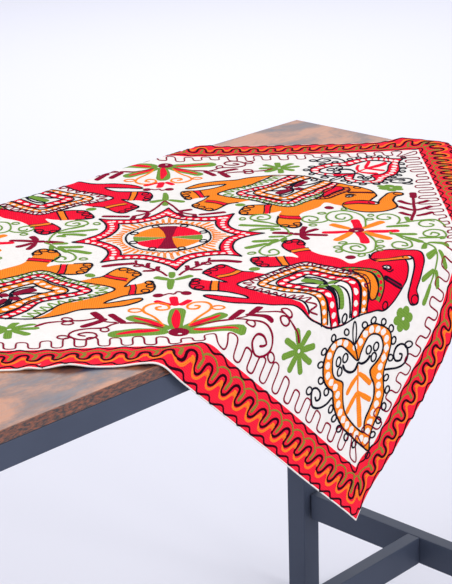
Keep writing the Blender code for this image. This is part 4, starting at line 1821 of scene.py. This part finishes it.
@dataclass
class Tapestry:
    """The cloth, its hem and its embroidery."""

    drape: Drape = field(default_factory=Drape)
    thickness: float = 0.0016
    columns: int = 132
    far_row: float = 0.009
    bend_row: float = 0.002
    bend_before: float = 0.040
    bend_after: float = 0.034
    hem_samples: int = 300
    hem_section: Points = (
        (-1.7, 0.6), (-1.2, 1.15), (-0.9, 1.2), (0.2, 0.8), (0.4, 0.0), (0.1, -0.9), (-0.9, -1.0),
        (-2.2, -0.6),
    )

    def rows(self) -> np.ndarray:
        """Where the rows of the cloth's grid cross its front-to-back diagonal."""
        half = self.drape.side / math.sqrt(2)
        front = -self.drape.half_depth - self.drape.cloth_y
        back = self.drape.half_depth - self.drape.cloth_y
        stretches = (
            (-half, front - self.bend_after, self.far_row),
            (front - self.bend_after, front + self.bend_before, self.bend_row),
            (front + self.bend_before, back - self.bend_before, self.far_row),
            (back - self.bend_before, back + self.bend_after, self.bend_row),
            (back + self.bend_after, half, self.far_row),
        )
        places = [-half]
        for start, end, spacing in stretches:
            count = math.ceil((end - start) / spacing)
            places += [start + (end - start) * k / count for k in range(1, count + 1)]
        return np.array(places)

    def build_cloth(self) -> bpy.types.Object:
        """Drapes a grid whose rows shrink to the front and back corners, and thickens it.

        Returns:
            The cloth.
        """
        places = self.rows()
        deselect()
        bpy.ops.mesh.primitive_grid_add(x_subdivisions=self.columns, y_subdivisions=len(places) - 1, size=2.0)
        cloth = bpy.context.object
        cloth.name = "draped_cotton"
        mesh = cloth.data
        mesh.name = "draped_cotton"
        points = np.empty(len(mesh.vertices) * 3)
        mesh.vertices.foreach_get("co", points)
        points = points.reshape(-1, 3)
        share = (points[:, 1] + 1.0) / 2.0 * (len(places) - 1)
        back = np.interp(share, np.arange(len(places)), places)
        reach = self.drape.side / math.sqrt(2) - np.abs(back)
        right = reach * np.sin(points[:, 0] * math.pi / 2)
        u = (right - back) / math.sqrt(2)
        v = (right + back) / math.sqrt(2)
        mesh.vertices.foreach_set("co", self.drape.surface(u, v).ravel())
        while mesh.uv_layers:
            mesh.uv_layers.remove(mesh.uv_layers[0])
        layer = mesh.uv_layers.new(name="flat_mm")
        corner = np.empty(len(mesh.loops), dtype=np.int32)
        mesh.loops.foreach_get("vertex_index", corner)
        flat = np.column_stack([u, v])[corner] / MM
        layer.data.foreach_set("uv", flat.astype(np.float32).ravel())
        choose(cloth)
        bpy.ops.object.mode_set(mode="EDIT")
        bpy.ops.mesh.select_all(action="SELECT")
        bpy.ops.mesh.remove_doubles(threshold=1e-5)
        bpy.ops.object.mode_set(mode="OBJECT")
        thicken = cloth.modifiers.new("thickness", "SOLIDIFY")
        thicken.thickness = self.thickness
        thicken.offset = 0.0
        bpy.ops.object.modifier_apply(modifier="thickness")
        mesh.shade_smooth()
        mesh.materials.append(CottonCloth().make())
        return cloth

    def build_hem(self) -> bpy.types.Object:
        """Makes the narrow turned hem that shows white outside the border.

        Returns:
            The hem: a flat roll that wraps the cloth's edge.
        """
        t = np.linspace(-1.0, 1.0, self.hem_samples, endpoint=False)
        one = np.ones_like(t)
        square = np.vstack([np.column_stack(side) for side in ((t, -one), (one, t), (-t, one), (-one, -t))])
        half = self.drape.side / 2
        rings = [
            np.column_stack([square * (half / MM + out), np.full(len(square), lift)])
            for out, lift in self.hem_section
        ]
        places = np.stack(rings, axis=1).reshape(-1, 3)
        flat = places * MM
        inner = np.clip(flat[:, :2], -half, half)
        laid = self.drape.lay(inner[:, 0], inner[:, 1], flat[:, 2])
        edge = self.drape.surface(inner[:, 0], inner[:, 1])
        for axis in (0, 1):
            before = inner.copy()
            before[:, axis] -= self.drape.probe
            slope = (edge - self.drape.surface(before[:, 0], before[:, 1])) / self.drape.probe
            laid += slope * (flat[:, axis] - inner[:, axis])[:, None]
        faces = np.roll(grid_faces(len(square), len(self.hem_section), True)[0], -1, axis=1)
        hem = mesh_object("turned_hem", laid, faces.tolist())
        layer = hem.data.uv_layers.new(name="flat_mm")
        layer.data.foreach_set("uv", places[faces.ravel(), :2].astype(np.float32).ravel())
        hem.data.materials.append(CottonCloth(name="turned_cotton_hem").make())
        return hem

    def embroider(self) -> list[bpy.types.Object]:
        """Sews the whole design, one piece for each yarn.

        Returns:
            The pieces.
        """
        skeins = {thread: Skein(thread) for thread in Thread}
        plain = Needle(skeins)
        Border(plain).build()
        Star(plain).build()
        for quarter in QUARTERS:
            needle = Needle(skeins, quarter.flip_x, quarter.flip_y, quarter.inward, quarter.pulls)
            Beast(needle, quarter).build()
            CornerHeart(needle, quarter).build()
            QuarterSprays(needle, quarter).build()
        LongAxisFlower(Needle(skeins)).build()
        LongAxisFlower(Needle(skeins, -1, 1), -14.0, True).build()
        Palmette(Needle(skeins), 22.0).build()
        Palmette(Needle(skeins, 1, -1), -4.0, 7.0, 5.0).build()
        for right, shift in ((1, 0.0), (-1, -14.0)):
            SideScroll(Needle(skeins, right, 1), LOWER_SCROLL, shift).build()
            SideScroll(Needle(skeins, right, -1), UPPER_SCROLL, shift).build()
        return [skein.make(self.drape) for skein in skeins.values()]

    def build(self) -> None:
        """Builds the cloth with all that is sewn on it, attaches each piece to the root body and logs its
        faces.
        """
        cloth = self.build_cloth()
        hem = self.build_hem()
        threads = self.embroider()
        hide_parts("tapestry")
        for piece in (cloth, hem, *threads):
            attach(piece, BODY)
            log.info("%s: %d faces", piece.name, len(piece.data.polygons))


@dataclass
class Table:
    """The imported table's nodes, dressed in their finishes."""

    wood: str = "table_board"
    zinc: str = "tab_"

    def build(self) -> None:
        """Gives each node of the table its finish."""
        board = RusticLaminate().make()
        steel = PowderCoat().make()
        plate = ZincPlate().make()
        for name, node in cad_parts.items():
            if name == "tapestry":
                continue
            finish = board if name == self.wood else plate if name.startswith(self.zinc) else steel
            for slot in node.material_slots:
                slot.material = finish
            log.info("%s: %s", name, finish.name)


@dataclass(frozen=True)
class SoftLight:
    """A soft square light that looks at a point."""

    name: str
    place: tuple[float, float, float]
    target: tuple[float, float, float]
    size: float
    watts: float
    colour: str = "#FFFFFF"

    def build(self) -> None:
        """Adds the light to the scene."""
        data = bpy.data.lights.new(self.name, "AREA")
        data.size = self.size
        data.energy = self.watts
        data.color = linear(self.colour)[:3]
        light = bpy.data.objects.new(self.name, data)
        light.location = self.place
        run = Vector(self.target) - Vector(self.place)
        light.rotation_euler = run.to_track_quat("-Z", "Y").to_euler()
        bpy.context.scene.collection.objects.link(light)


LIGHTS = (
    SoftLight("window_left", (-2.6, 0.6, 2.9), (0.0, 0.0, 0.8), 2.2, 38.0),
    SoftLight("softbox_front", (0.6, -3.2, 2.6), (0.0, 0.0, 0.7), 2.0, 58.0, "#FFFCFA"),
    SoftLight("softbox_far", (3.6, 3.4, 3.7), (3.4, 3.2, 0.0), 3.2, 88.0),
)


@dataclass
class Studio:
    """The floor, the lights and the camera of the photograph."""

    focal_px: float = 1686.21
    long_px: float = 584.0
    sensor_mm: float = 36.0
    yaw: float = 45.44
    pitch: float = 20.19
    roll: float = -1.74
    place: tuple[float, float, float] = (-1.48446, -1.56027, 1.61582)
    floor_side: float = 60.0
    floor_cells: int = 24
    sky: str = "#F3F3FA"
    sky_strength: float = 0.90

    def build_camera(self) -> None:
        """Puts the camera where the photograph was taken from."""
        yaw, pitch, roll = (math.radians(a) for a in (self.yaw, self.pitch, self.roll))
        ahead = np.array([math.sin(yaw) * math.cos(pitch), math.cos(yaw) * math.cos(pitch), -math.sin(pitch)])
        level = np.array([math.cos(yaw), -math.sin(yaw), 0.0])
        high = np.cross(level, ahead)
        right = math.cos(roll) * level + math.sin(roll) * high
        up = -math.sin(roll) * level + math.cos(roll) * high
        data = bpy.data.cameras.new("photograph_camera")
        data.sensor_width = self.sensor_mm
        data.lens = self.focal_px / self.long_px * self.sensor_mm
        data.clip_end = 100.0
        camera = bpy.data.objects.new("photograph_camera", data)
        matrix = Matrix.Identity(4)
        for column, axis in enumerate((right, up, -ahead, np.array(self.place))):
            for row in range(3):
                matrix[row][column] = float(axis[row])
        camera.matrix_world = matrix
        bpy.context.scene.collection.objects.link(camera)
        bpy.context.scene.camera = camera

    def build(self) -> None:
        """Builds the floor, the lights and the pale surroundings."""
        deselect()
        cells = self.floor_cells
        bpy.ops.mesh.primitive_grid_add(x_subdivisions=cells, y_subdivisions=cells, size=self.floor_side)
        floor = bpy.context.object
        floor.name = "studio_floor"
        floor.data.materials.append(StudioFloor().make())
        world = bpy.data.worlds.new("pale_surroundings")
        world.use_nodes = True
        backdrop = world.node_tree.nodes["Background"]
        backdrop.inputs["Color"].default_value = linear(self.sky)
        backdrop.inputs["Strength"].default_value = self.sky_strength
        bpy.context.scene.world = world
        for light in LIGHTS:
            light.build()
        bpy.context.scene.view_settings.view_transform = "Standard"
        self.build_camera()


def main() -> None:
    """Builds the scene in order."""
    logging.basicConfig(level=logging.INFO, format="%(name)s: %(message)s")
    Studio().build()
    Tapestry().build()
    Table().build()


if __name__ == "__main__":
    main()
